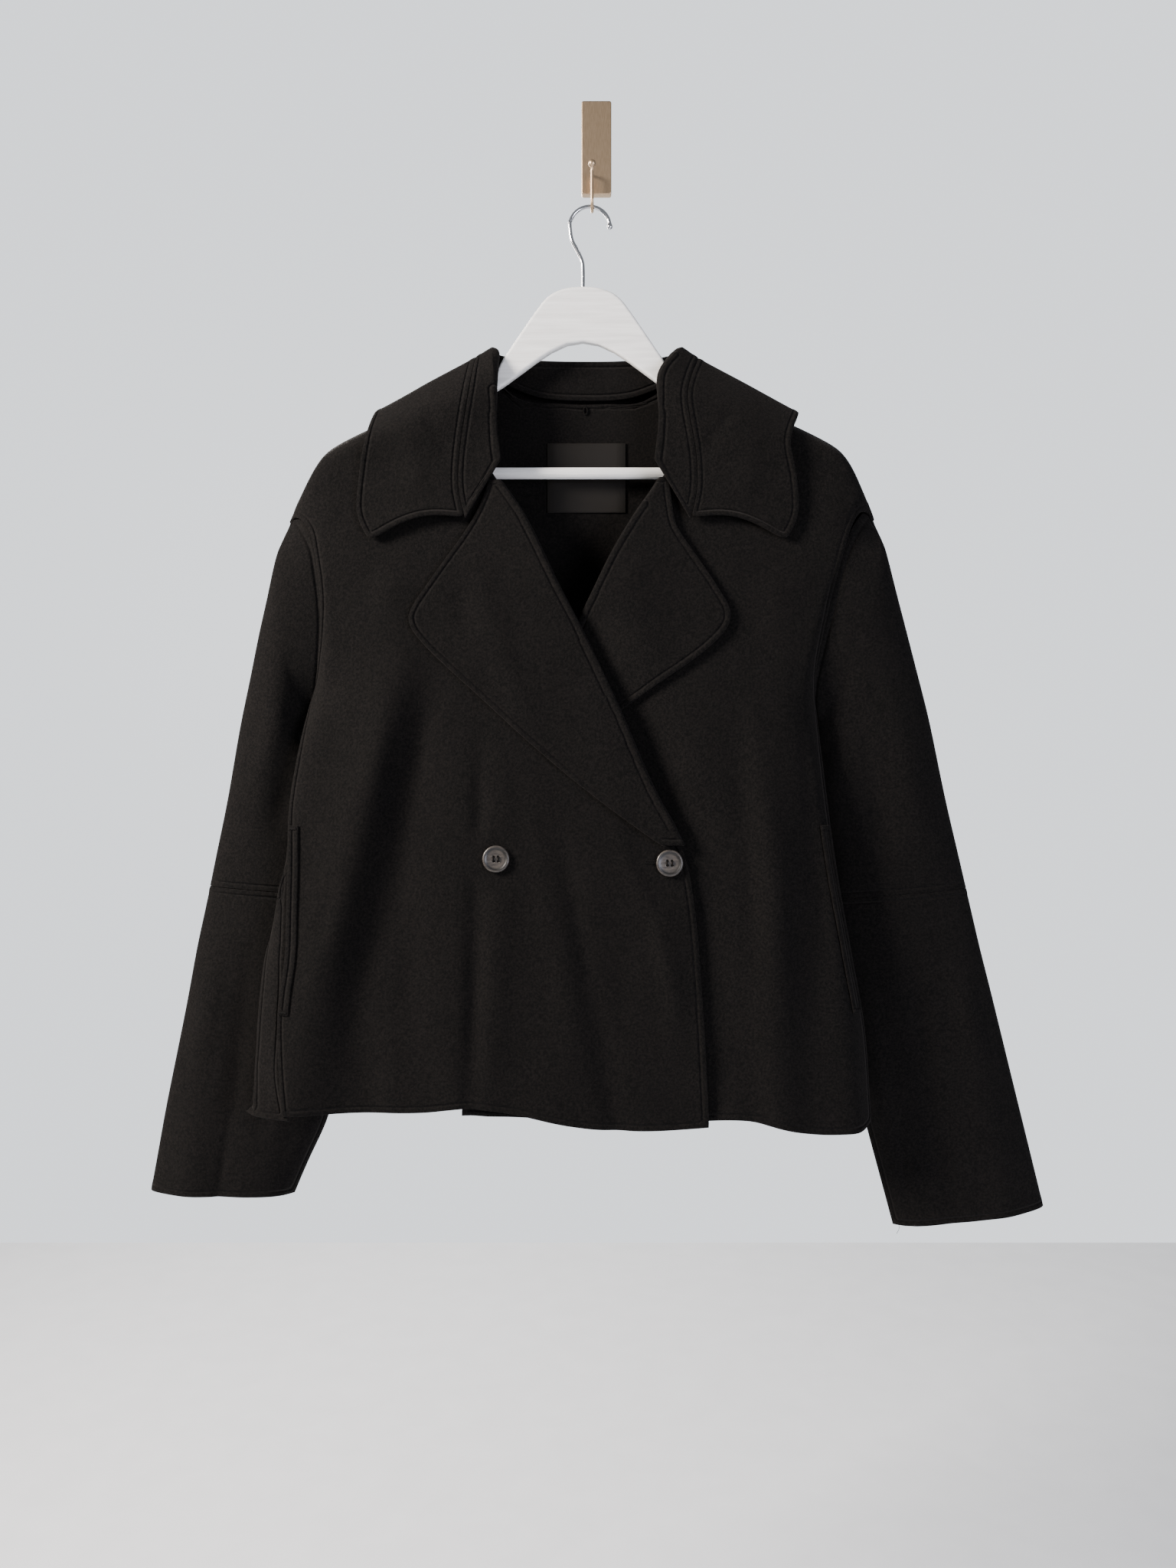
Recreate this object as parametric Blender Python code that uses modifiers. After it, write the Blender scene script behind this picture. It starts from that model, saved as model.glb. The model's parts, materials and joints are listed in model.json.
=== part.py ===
"""Double-breasted wool jacket on a wooden hanger that hangs from a wall hook.

Tables and sizes are in millimetres. The origin is the centre of the wall plate's back face, +Z is up and
+Y points into the wall, so a smaller y is nearer to someone who looks at the jacket. "Right" and "left"
are the wearer's: the right front is at minus X and lies on top of the left one.
"""
import math
from collections import namedtuple

import bmesh
import bpy
import numpy as np
from mathutils import Matrix, Vector

MM = 0.001
CLOTH = 1.8              # double-faced felted wool
SEAM = 0.3               # gap between pieces at a flat seam
ROUND_SEAM = 1.1         # half gap where two walls meet round a bend
ARMHOLE_GAP = 1.3        # gap between a sleeve and the body, along X
RIDGE_Y = -24.0          # plane of the hanger, under the shoulder ridge
ROLL_RADIUS = 4.0        # outside radius of the rolled lapel and collar
SHOULDER_ROUND = (20.0, 13.0)   # how far down the front and the back round over the shoulder
SIDE_ROUND = 46.0        # how far in the front rounds at its sides
BACK_REACH = 150.0       # how far in the back takes to come from the side to its plane
ARMHOLE_REACH = 34.0     # the same at the armhole
HEM_ROWS = 11            # rows from hem to underarm
ARMHOLE_STEPS = (0.0, 0.012, 0.045, 0.11, 0.2, 0.285, 0.39, 0.53, 0.67, 0.81, 0.92, 1.0)
FRONT_COLUMNS = 15
BACK_COLUMNS = 24
LAPEL_ROWS = 18
ROLL_STEPS = 5           # facets of a roll
ROLL_START = 0.9         # angle at which the lapel takes over from the front's edge
FOLD_FADE = 0.4          # share of a fold's length in which it grows to its full height
UNDER_SPAN = (50.0, 45.0)       # the left front sinks this far outside the right edge, over this width
UNDER_TOP = (-390.0, 50.0)      # height from which it sinks, and over what height
INNER_ARM_Z = -548.0     # height at the inner edge of the row that leaves the underarm
LAPEL_LOW = (-560.0, 50.0)      # the lapel's lower end starts here and takes this height
BUTTON_RADIUS = 11.5
BUTTON_THICK = 3.2
BUTTON_HOLE = 1.1
PLATE = (27.0, 8.0, 84.0)

Edge = namedtuple("Edge", "z x y")
Plane = namedtuple("Plane", "z front back")
Line = namedtuple("Line", "x z")
Run = namedtuple("Run", "z x")
Fold = namedtuple("Fold", "top_x top_z low_x low_z width height")
Ring = namedtuple("Ring", "outer_x outer_z inner_x inner_z outer_y inner_y depth")
Collar = namedtuple("Collar", "lies neck_x neck_z roll_x roll_z seam_x seam_z edge_x edge_z bow lift")

# Outer edges of the body: down the armhole, round the underarm, down the side to the hem
RIGHT_FRONT_EDGE = (
    Edge(-341, -272, -24), Edge(-354, -261, -40), Edge(-380, -247, -48), Edge(-433, -239, -52),
    Edge(-475, -242, -48), Edge(-500, -249, -38), Edge(-534, -257, -50), Edge(-567, -262, -58),
    Edge(-599, -266, -62), Edge(-632, -276, -64), Edge(-692, -286, -66), Edge(-789, -295, -68),
    Edge(-851, -301, -70))
RIGHT_BACK_ARMHOLE = (
    Edge(-341, -272, -24), Edge(-356, -264, -15), Edge(-380, -252, -11), Edge(-430, -244, -10),
    Edge(-475, -246, -16), Edge(-500, -249, -38))
LEFT_FRONT_EDGE = (
    Edge(-339, 246, -24), Edge(-354, 232, -40), Edge(-374, 221, -47), Edge(-404, 210, -51),
    Edge(-455, 196, -50), Edge(-490, 190, -46), Edge(-512, 192, -38), Edge(-545, 194, -48),
    Edge(-578, 197, -55), Edge(-649, 206, -60), Edge(-718, 218, -62), Edge(-784, 229, -63),
    Edge(-864, 234, -64))
LEFT_BACK_ARMHOLE = (
    Edge(-339, 246, -24), Edge(-356, 235, -15), Edge(-385, 221, -11), Edge(-430, 205, -10),
    Edge(-480, 193, -16), Edge(-512, 192, -38))
UNDERARM_Z = (-500.0, -512.0)
SHOULDER_END_Z = (-341.0, -339.0)

# The right side seam, which lies a little way round to the front
RIGHT_SEAM = (Run(-500, -249), Run(-560, -258.5), Run(-604, -263), Run(-642, -262), Run(-709, -262),
              Run(-768, -268), Run(-809, -266), Run(-851, -262))
PLANES = (Plane(-205, -38, -12), Plane(-300, -46, -11), Plane(-380, -55, -10), Plane(-440, -60, -10),
          Plane(-520, -68, -10), Plane(-600, -76, -10), Plane(-700, -83, -9), Plane(-780, -87, -8),
          Plane(-865, -90, -7))
SHOULDER = (Line(-272, -341), Line(-255, -306), Line(-244, -286), Line(-235, -277), Line(-199, -258),
            Line(-159, -241), Line(-96, -208), Line(74, -206), Line(116, -229), Line(171, -254),
            Line(205, -271), Line(215, -278), Line(224, -290), Line(233, -309), Line(246, -339))
BACK_NECK = (Line(-96, -208), Line(-75, -227), Line(-13, -233.5), Line(52, -229.5), Line(74, -208))

# Inner edges of the fronts: closing edge, roll line, then the neck under the collar
RIGHT_INNER = (Run(-861, 93), Run(-774, 89), Run(-698, 84), Run(-651, 78), Run(-629, 72), Run(-577, 45),
               Run(-512, 17), Run(-441, -16), Run(-400, -37), Run(-340, -66), Run(-300, -92),
               Run(-275, -101), Run(-208, -98))
LEFT_INNER = (Run(-855, -113), Run(-700, -100), Run(-570, -72), Run(-500, -45), Run(-435, -14),
              Run(-405, 1), Run(-372, 17), Run(-335, 39), Run(-306, 58), Run(-275, 68), Run(-206, 75))
RIGHT_HEM = (Line(-301, -851), Line(-257, -849), Line(-146, -847), Line(-108, -843), Line(-75, -847),
             Line(-19, -858), Line(24, -862), Line(76, -861), Line(93, -859))
LEFT_HEM = (Line(-113, -850), Line(93, -855), Line(116, -853), Line(193, -866), Line(226, -865),
            Line(234, -860))
BACK_HEM = (Line(-301, -851), Line(-150, -856), Line(-10, -858), Line(140, -858), Line(234, -860))

# Outer edges of the lapels, from the gorge down to the break
RIGHT_LAPEL = (Run(-310, -93), Run(-325, -98), Run(-349, -109.5), Run(-385, -134), Run(-421, -158),
               Run(-432, -164), Run(-441, -158), Run(-454, -147), Run(-500, -98), Run(-555, -37),
               Run(-594, 12), Run(-624, 54))
LEFT_LAPEL = (Run(-308, 62), Run(-345, 67), Run(-376, 85), Run(-402, 102), Run(-427, 114),
              Run(-437, 112), Run(-456, 95), Run(-491, 46), Run(-530, -8), Run(-566, -58))
LAPEL_RISE = 4.6         # how far the lapel's outer edge stands off the front
BUTTON_SIDE_RISE = 7.2   # the same over the closing button
UNDER_LAPEL = 11.0       # how far the left front lies behind the right one at the lapels
UNDER_FRONT = 5.0        # the same below the break

# Largest folds of the fronts, heights towards the viewer
FOLDS = (Fold(-162, -403, -243, -780, 22, 5), Fold(-142, -474, -182, -850, 20, -5),
         Fold(-105, -640, -108, -850, 15, 4), Fold(-55, -660, -42, -860, 22, 3),
         Fold(13, -610, 64, -740, 16, 3), Fold(140, -480, 145, -866, 18, 4),
         Fold(178, -560, 186, -866, 13, -3.5))

# Sleeve sections from below the armhole to the cuff
RIGHT_UPPER = (Ring(-281, -372, -258, -512, -33, -28, 21), Ring(-296, -440, -262, -537, -33, -26, 21),
               Ring(-312, -515, -250, -565, -31, -26, 21), Ring(-326, -590, -236, -615, -29, -25, 19),
               Ring(-341, -662, -217, -671, -28, -25, 19))
RIGHT_LOWER = (Ring(-341, -662.7, -217, -671.7, -28, -25, 19), Ring(-352, -714, -217, -722, -28, -25, 19),
               Ring(-362, -768, -220, -772, -28, -25, 19), Ring(-380, -858, -236, -862, -28, -25, 19),
               Ring(-393, -930, -267, -934, -28, -26, 19))
LEFT_UPPER = (Ring(254, -368, 202, -524, -33, -28, 21), Ring(272, -437, 207, -549, -33, -26, 21),
              Ring(292, -515, 205, -578, -31, -26, 21), Ring(309, -592, 204, -622, -29, -25, 19),
              Ring(326, -664, 204, -674, -28, -25, 19))
LEFT_LOWER = (Ring(326, -664.5, 204, -674.5, -28, -25, 19), Ring(338, -716, 207, -724, -28, -25, 19),
              Ring(352, -772, 214, -778, -28, -25, 19), Ring(375, -866, 238, -872, -28, -25, 19),
              Ring(394, -944, 262, -962, -28, -26, 19))
SLEEVE_ROWS = 2          # rows between two sleeve sections

# Collar sections from the right front end to the centre back; the left ones mirror them
FRONT, RIDGE, BACK = "front", "ridge", "back"
COLLAR_CENTRE = {FRONT: -16.5, RIDGE: -9.0, BACK: -9.0}
RIDGE_LIFT = (10.0, 8.5)   # how far the fall stands over the shoulder ridge
COLLAR = (
    Collar(FRONT, -92, -297, -86, -293, -113, -344, -195, -364, 10, 0),
    Collar(FRONT, -97, -276, -89, -272, -119, -318, -206, -340, 3, 0),
    Collar(FRONT, -97, -254, -89, -248, -118, -282, -205, -306, 0, 1.0),
    Collar(FRONT, -96, -228, -88, -216, -111, -236, -200, -276, 0, 3.5),
    Collar(RIDGE, -96, -205, -88, -192, -106, -202, -195, -250, 0, -7.0),
    Collar(RIDGE, -96, -205, -88, -192, -105, -202, -193, -250, 0, 6.0),
    Collar(BACK, -82, -215, -73, -193, -88, -220, -182, -276, 0, 0.5),
    Collar(BACK, -50, -227, -48, -195, -50, -226, -104, -294, 0, 0),
    Collar(BACK, -9, -230, -9, -196, -9, -228, -9, -297, 0, 0))

NECK_LABEL = (70.0, 62.0)
NECK_LABEL_PLACE = (-9.0, -299.0)
LABEL_THICK = 1.0
LOOP_PLACE = (-10.0, -239.0)
POCKET = (-608.0, -766.0)
POCKET_WIDTH = 9.0
BUTTONS = (("button_right", -85.0, -636.0), ("button_left", 61.0, -639.5))

COLLECTION = "double_breasted_jacket"
WOOL = ("Felted wool", (0.012, 0.010, 0.010), 0.9, 0.0)
LABEL = ("Label satin", (0.05, 0.05, 0.055), 0.55, 0.0)
HORN = ("Horn button", (0.035, 0.028, 0.024), 0.35, 0.0)
PAINT = ("White painted wood", (0.78, 0.78, 0.77), 0.45, 0.0)
CHROME = ("Chromed wire", (0.75, 0.75, 0.76), 0.12, 1.0)
SATIN = ("Satin metal", (0.52, 0.44, 0.36), 0.38, 1.0)


def material(finish):
    """Principled material from (name, colour, roughness, metallic), made once."""
    name, colour, rough, metal = finish
    made = bpy.data.materials.get(name)
    if made is None:
        made = bpy.data.materials.new(name)
        made.use_nodes = True
        shader = made.node_tree.nodes["Principled BSDF"]
        shader.inputs["Base Color"].default_value = (*colour, 1.0)
        shader.inputs["Roughness"].default_value = rough
        shader.inputs["Metallic"].default_value = metal
    return made


def collection(name):
    """Collection of that name in the scene, made once."""
    made = bpy.data.collections.get(name)
    if made is None:
        made = bpy.data.collections.new(name)
        bpy.context.scene.collection.children.link(made)
    return made


def add_object(name, data, finish):
    """Object in the jacket's collection with its finish."""
    made = bpy.data.objects.new(name, data)
    made.data.materials.append(material(finish))
    collection(COLLECTION).objects.link(made)
    return made


def track(rows, key, at):
    """Smooth values of all columns of a table where its key column has the value at."""
    data = np.array(rows, dtype=float)
    data = data[np.argsort(data[:, rows[0]._fields.index(key)])]
    keys = data[:, rows[0]._fields.index(key)]
    secants = np.diff(data, axis=0) / np.diff(keys)[:, None]
    slopes = np.vstack([secants[:1], secants[-1:]]) if len(data) == 2 else None
    if slopes is None:
        before, after = secants[:-1], secants[1:]
        same = before * after > 0
        mean = np.where(same, 2 * before * after / np.where(same, before + after, 1.0), 0.0)
        slopes = np.vstack([secants[:1], mean, secants[-1:]])
    i = int(np.clip(np.searchsorted(keys, at) - 1, 0, len(keys) - 2))
    step = keys[i + 1] - keys[i]
    t = float(np.clip((at - keys[i]) / step, 0.0, 1.0))
    values = ((1 + 2 * t) * (1 - t) ** 2 * data[i] + t * (1 - t) ** 2 * step * slopes[i]
              + t * t * (3 - 2 * t) * data[i + 1] - t * t * (1 - t) * step * slopes[i + 1])
    return type(rows[0])(*values)


def ease(t):
    """Smooth step from 0 to 1."""
    t = min(max(t, 0.0), 1.0)
    return t * t * (3 - 2 * t)


def bulge(t):
    """Quarter round from 0 to 1, steep at its start."""
    t = min(max(t, 0.0), 1.0)
    return math.sqrt(1 - (1 - t) ** 2)


def fold_height(x, z):
    """Sum of the folds at a place on the fronts."""
    total = 0.0
    for fold in FOLDS:
        along = (fold.top_z - z) / (fold.top_z - fold.low_z)
        middle = fold.top_x + (fold.low_x - fold.top_x) * along
        total += fold.height * ease(along / FOLD_FADE) * math.exp(-((x - middle) / fold.width) ** 2)
    return total


def over_shoulder(y, x, z, reach):
    """Depth y brought back to the shoulder ridge near the shoulder line."""
    return RIDGE_Y + (y - RIDGE_Y) * bulge((track(SHOULDER, "x", x).z - z) / reach)


def front_y(x, z):
    """Outer face of the fronts, as if the right one went all the way across."""
    plane = track(PLANES, "z", z).front
    y = plane - fold_height(x, z)
    for edge, sign in ((track(RIGHT_FRONT_EDGE, "z", z), 1), (track(LEFT_FRONT_EDGE, "z", z), -1)):
        y += (edge.y - y) * (1 - bulge((x - edge.x) * sign / SIDE_ROUND))
    return over_shoulder(y, x, z, SHOULDER_ROUND[0])


def back_edges(z):
    """Right and left outer edges of the back at a height."""
    right = RIGHT_BACK_ARMHOLE if z > UNDERARM_Z[0] else RIGHT_FRONT_EDGE
    left = LEFT_BACK_ARMHOLE if z > UNDERARM_Z[1] else LEFT_FRONT_EDGE
    return track(right, "z", z), track(left, "z", z)


def back_y(x, z):
    """Outer face of the back, which comes forward at the sides to clear the sleeves."""
    y = plane = track(PLANES, "z", z).back
    below = ease((UNDERARM_Z[0] + 20.0 - z) / 80.0)
    reach = ARMHOLE_REACH + (BACK_REACH - ARMHOLE_REACH) * below
    for edge, sign in zip(back_edges(z), (1, -1)):
        inward = (x - edge.x) * sign
        y += (edge.y - plane) * (1 - 0.2 * bulge(inward / 14.0) - 0.8 * ease(inward / reach))
    return over_shoulder(y, x, z, SHOULDER_ROUND[1])


def under_y(x, z):
    """Outer face of the left front, which goes behind the right one."""
    behind = UNDER_FRONT + (UNDER_LAPEL - UNDER_FRONT) * ease((z + 640.0) / 60.0)
    covered = ease((track(RIGHT_INNER, "z", z).x + UNDER_SPAN[0] - x) / UNDER_SPAN[1])
    return front_y(x, z) + behind * covered * ease((UNDER_TOP[0] - z) / UNDER_TOP[1])


def wall(name, rows, finish=WOOL, thick=CLOTH, closed=False):
    """Cloth wall from rows of outer points in millimetres; its thickness goes inwards."""
    across, up = len(rows[0]), len(rows)
    mesh = bpy.data.meshes.new(name)
    shape = bmesh.new()
    bmesh.ops.create_grid(shape, x_segments=across - 1, y_segments=up - 1, size=1.0)
    shape.verts.ensure_lookup_table()
    for index, point in enumerate(point for row in rows for point in row):
        shape.verts[index].co = Vector(point) * MM
    if closed:
        bmesh.ops.remove_doubles(shape, verts=shape.verts, dist=0.00001)
    shape.to_mesh(mesh)
    shape.free()
    mesh.shade_smooth()
    made = add_object(name, mesh, finish)
    solidify = made.modifiers.new("Cloth thickness", "SOLIDIFY")
    solidify.thickness = thick * MM
    solidify.offset = -1.0
    return made


def armhole_heights(side):
    """Heights of the shared armhole rows, from the underarm up (side 0 right, 1 left)."""
    low, top = UNDERARM_Z[side], SHOULDER_END_Z[side]
    return [top + (low - top) * step for step in reversed(ARMHOLE_STEPS)]


def front_rows(side):
    """Rows of outer points of a front, hem to shoulder, each from viewer's left to right."""
    outline = (RIGHT_FRONT_EDGE, LEFT_FRONT_EDGE)[side]
    inner, hem = ((RIGHT_INNER, RIGHT_HEM), (LEFT_INNER, LEFT_HEM))[side]
    depth = (front_y, under_y)[side]
    heights = armhole_heights(side)
    low_z, inner_low = outline[-1].z, inner[0].z
    inner_arm, inner_top = INNER_ARM_Z, inner[-1].z
    spans = [(low_z + (heights[0] - low_z) * i / HEM_ROWS, inner_low + (inner_arm - inner_low) * i / HEM_ROWS)
             for i in range(HEM_ROWS)]
    spans += [(z, inner_top + (inner_arm - inner_top) * step)
              for z, step in zip(heights, reversed(ARMHOLE_STEPS))]
    rows = []
    for number, (outer_z, inner_z) in enumerate(spans):
        up = number / (len(spans) - 1)
        edge = track(outline, "z", outer_z)
        outer_x = edge.x
        if side == 0 and outer_z < heights[0]:
            outer_x = track(RIGHT_SEAM, "z", outer_z).x + SEAM
        inner_x = track(inner, "z", inner_z).x
        row = []
        for column in range(FRONT_COLUMNS + 1):
            across = 1 - math.cos(0.5 * math.pi * column / FRONT_COLUMNS)
            across = 0.55 * across + 0.45 * column / FRONT_COLUMNS
            x = outer_x + (inner_x - outer_x) * across
            z = outer_z + (inner_z - outer_z) * across
            hem_line = low_z + (inner_low - low_z) * across
            top_line = heights[-1] + (inner_top - heights[-1]) * across
            z += (track(hem, "x", x).z - hem_line) * (1 - up) ** 3
            z += (track(SHOULDER, "x", x).z - top_line) * up ** 4
            y = depth(x, z)
            on_edge = column == 0 and (side == 1 or outer_z >= heights[0])
            if on_edge:
                y = edge.y - ROUND_SEAM * (outer_z < heights[0] + 1)
            if number == len(spans) - 1:
                y = RIDGE_Y - ROUND_SEAM
            row.append((x, y, z))
        rows.append(row if side == 0 else row[::-1])
    return rows


def back_path(z):
    """Outer points of the back at a height, from the right seam round to the left seam."""
    right, left = back_edges(z)
    path = []
    if z < UNDERARM_Z[0]:
        seam = track(RIGHT_SEAM, "z", z).x - SEAM
        path = [(x, front_y(x, z)) for x in np.linspace(seam, right.x, 8)[:-1]]
    reach = (1 - np.cos(np.linspace(0, math.pi, 60))) / 2
    path += [(x, back_y(x, z)) for x in right.x + (left.x - right.x) * reach]
    if z < UNDERARM_Z[1]:
        path[-1] = (left.x, left.y + ROUND_SEAM)
    return np.array(path)


def resample(path, count):
    """Points along a path, closer together near its ends."""
    lengths = np.concatenate([[0.0], np.cumsum(np.linalg.norm(np.diff(path, axis=0), axis=1))])
    spread = np.linspace(0.0, 1.0, count + 1)
    spread = 0.5 * spread + 0.5 * (1 - np.cos(math.pi * spread)) / 2
    return [tuple(np.interp(lengths[-1] * s, lengths, path[:, k]) for k in range(path.shape[1]))
            for s in spread]


def back_rows():
    """Rows of outer points of the back, hem to shoulders and neck."""
    rows = []
    low = (RIGHT_FRONT_EDGE[-1].z, LEFT_FRONT_EDGE[-1].z)
    right_heights, left_heights = armhole_heights(0), armhole_heights(1)
    count = HEM_ROWS + len(right_heights)
    for number in range(count):
        up = number / (count - 1)
        if number < HEM_ROWS:
            ends = [low[k] + (UNDERARM_Z[k] - low[k]) * number / HEM_ROWS for k in (0, 1)]
        else:
            ends = [right_heights[number - HEM_ROWS], left_heights[number - HEM_ROWS]]
        spine = resample(back_path(sum(ends) / 2), BACK_COLUMNS)
        right, left = back_edges(ends[0])[0], back_edges(ends[1])[1]
        row = []
        for column, (x, y) in enumerate(spine):
            across = column / BACK_COLUMNS
            z = ends[0] + (ends[1] - ends[0]) * across
            top = track(BACK_NECK, "x", x).z if -96 < x < 74 else track(SHOULDER, "x", x).z
            middle = math.sin(math.pi * across) ** 0.5
            middle += (1 - middle) * up ** 8
            z += (top - z) * middle * ease((up - 0.45) / 0.55) ** 1.2
            z += (track(BACK_HEM, "x", x).z - z) * (1 - up) ** 4
            if number >= HEM_ROWS:
                y = back_y(x, z)
            if number == count - 1 and not -96 < x < 74:
                y = RIDGE_Y + ROUND_SEAM
            row.append((x, y, z))
        if number >= HEM_ROWS:
            row[0] = (right.x, right.y + ROUND_SEAM, ends[0])
            row[-1] = (left.x, left.y + ROUND_SEAM, ends[1])
        rows.append(row[::-1])
    return rows


def roll_points(start, apex, end, steps=ROLL_STEPS):
    """Path from start round a roll whose outermost point is apex, to end."""
    start, apex, end = Vector(start), Vector(apex), Vector(end)
    out = (apex - (start + end) / 2).normalized()
    side = end - start
    side = (side - side.dot(out) * out).normalized()
    centre = apex - out * ROLL_RADIUS
    arc = [centre + ROLL_RADIUS * (-math.cos(a) * side + math.sin(a) * out)
           for a in (math.pi * i / steps for i in range(steps + 1))]
    return [start, *arc, end]


def lapel_rows(side):
    """Rows of a lapel: round the roll from the front's edge, then out over the front."""
    edge, inner = ((RIGHT_LAPEL, RIGHT_INNER), (LEFT_LAPEL, LEFT_INNER))[side]
    depth = (front_y, under_y)[side]
    sign = (-1, 1)[side]
    rows = []
    for number in range(LAPEL_ROWS + 1):
        z = edge[-1].z + (edge[0].z - edge[-1].z) * number / LAPEL_ROWS
        roll_x = track(inner, "z", z).x - sign * 1.0
        edge_x = track(edge, "z", z).x
        low = ease((LAPEL_LOW[0] - z) / LAPEL_LOW[1])
        rise = LAPEL_RISE + (BUTTON_SIDE_RISE - LAPEL_RISE) * low * (1 - side)
        far = 2 * ROLL_RADIUS - CLOTH
        row = []
        for i in range(ROLL_STEPS + 1):
            angle = ROLL_START + (math.pi - ROLL_START) * i / ROLL_STEPS
            x = roll_x - sign * ROLL_RADIUS * 0.7 * math.sin(angle)
            row.append((x, depth(roll_x, z) + CLOTH - ROLL_RADIUS * (1 - math.cos(angle)), z))
        reach = abs(edge_x - roll_x)
        for i in range(1, 8):
            x = roll_x + sign * reach * i / 7
            row.append((x, depth(x, z) - far - (rise - far) * ease(i / 7), z))
        rows.append(row if side == 1 else row[::-1])
    return rows


def collar_places():
    """Neck, roll, stand seam and outer edge of every collar section, right end round to the left end."""
    places = []
    rows = [(row, False) for row in COLLAR] + [(row, True) for row in COLLAR[-2::-1]]
    for row, mirrored in rows:
        def across(x):
            return 2 * COLLAR_CENTRE[row.lies] - x if mirrored else x
        far = 2 * ROLL_RADIUS - CLOTH
        spots = [(across(row.neck_x), row.neck_z), (across(row.roll_x), row.roll_z),
                 (across(row.seam_x), row.seam_z), (across(row.edge_x), row.edge_z)]
        if row.lies == FRONT:
            base = [front_y(x, z) for x, z in spots]
            depths = [base[0] + CLOTH, base[0] + CLOTH - ROLL_RADIUS, base[2] - far - row.lift,
                      base[3] - LAPEL_RISE - row.lift]
        elif row.lies == RIDGE:
            depths = [RIDGE_Y + row.lift] * 4
            tops = [track(SHOULDER, "x", x).z for x, _ in spots]
            spots = [*spots[:2], (spots[2][0], tops[2] + RIDGE_LIFT[0]),
                     (spots[3][0], tops[3] + RIDGE_LIFT[1])]
        else:
            base = [back_y(x, z) for x, z in spots]
            depths = [base[0] - CLOTH, base[0] - CLOTH + ROLL_RADIUS, base[2] + far + row.lift,
                      base[3] + LAPEL_RISE + row.lift]
        places.append([(x, y, z) for (x, z), y in zip(spots, depths)] + [row.bow])
    return places


def between(places, t):
    """Section at a place along the collar, by a smooth curve through the sections."""
    i = min(int(t), len(places) - 2)
    s = t - i
    ends = [places[min(max(i + k, 0), len(places) - 1)] for k in (-1, 0, 1, 2)]
    section = []
    for column in range(4):
        a, b, c, d = (np.array(place[column]) for place in ends)
        section.append(0.5 * (2 * b + (c - a) * s + (2 * a - 5 * b + 4 * c - d) * s * s
                              + (3 * b - a - 3 * c + d) * s ** 3))
    return section, ends[1][4] + (ends[2][4] - ends[1][4]) * s


def collar_rows():
    """Rows of the stand and of the fall along the collar."""
    places = collar_places()
    stand, fall = [], []
    for number in range(2 * (len(places) - 1) + 1):
        (neck, roll, seam, edge), bow = between(places, number / 2)
        stand.append(roll_points(neck, roll, seam))
        gap = (edge - seam) / np.linalg.norm(edge - seam) * (SEAM + 0.2)
        row = []
        for i in range(7):
            point = seam + gap + (edge - seam - gap) * i / 6
            lift = np.array((0.0, 0.0, bow * math.sin(math.pi * i / 6)))
            row.append(tuple(point + lift))
        fall.append(row)
    return stand, fall


def sleeve_ring(ring, steps):
    """Closed loop of points round a sleeve section, top, front, underarm, back, top."""
    outer = np.array((ring.outer_x, ring.outer_y, ring.outer_z))
    inner = np.array((ring.inner_x, ring.inner_y, ring.inner_z))
    angles = [math.pi * s for s in steps] + [2 * math.pi - math.pi * s for s in reversed(steps[:-1])]
    middle, half = (outer + inner) / 2, (outer - inner) / 2
    return [tuple(middle + half * math.cos(a) + np.array((0.0, -ring.depth * math.sin(a), 0.0)))
            for a in angles]


def armhole_ring(side):
    """First ring of a sleeve, just outside the armhole edge of the body."""
    front = (RIGHT_FRONT_EDGE, LEFT_FRONT_EDGE)[side]
    back = (RIGHT_BACK_ARMHOLE, LEFT_BACK_ARMHOLE)[side]
    heights = armhole_heights(side)[::-1]
    out = (-1, 1)[side] * ARMHOLE_GAP
    loop = [track(front, "z", z) for z in heights] + [track(back, "z", z) for z in heights[-2::-1]]
    return [(edge.x + out, edge.y, edge.z - SEAM) for edge in loop]


def sleeve_rows(rings, side, first=None):
    """Rows of a sleeve tube through its sections, cuff end first."""
    steps = [math.acos(1 - 2 * step) / math.pi for step in ARMHOLE_STEPS]
    loops = [np.array(sleeve_ring(ring, steps)) for ring in rings]
    if first is not None:
        loops.insert(0, np.array(first))
    rows = []
    for upper, lower in zip(loops[:-1], loops[1:]):
        rows += [upper + (lower - upper) * k / SLEEVE_ROWS for k in range(SLEEVE_ROWS)]
    rows.append(loops[-1])
    rows = [[tuple(point) for point in row] for row in rows[::-1]]
    return [row[::-1] for row in rows] if side == 1 else rows


def front_normal(x, z):
    """Direction in which the right front faces."""
    step = 6.0
    slope_x = (front_y(x + step, z) - front_y(x - step, z)) / (2 * step)
    slope_z = (front_y(x, z + step) - front_y(x, z - step)) / (2 * step)
    return Vector((slope_x, -1.0, slope_z)).normalized()


def turned(name, profile, finish, steps=28):
    """Closed turned solid about Z from (radius, height) points that run down the outer side."""
    mesh = bpy.data.meshes.new(name)
    shape = bmesh.new()
    verts = [shape.verts.new(Vector((radius, 0.0, height)) * MM) for radius, height in profile]
    for first, second in zip(verts[:-1], verts[1:]):
        shape.edges.new((first, second))
    shape.to_mesh(mesh)
    shape.free()
    made = add_object(name, mesh, finish)
    screw = made.modifiers.new("Turn", "SCREW")
    screw.steps = screw.render_steps = steps
    screw.use_merge_vertices = True
    screw.merge_threshold = 0.00001
    screw.use_normal_calculate = True
    return made


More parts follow.
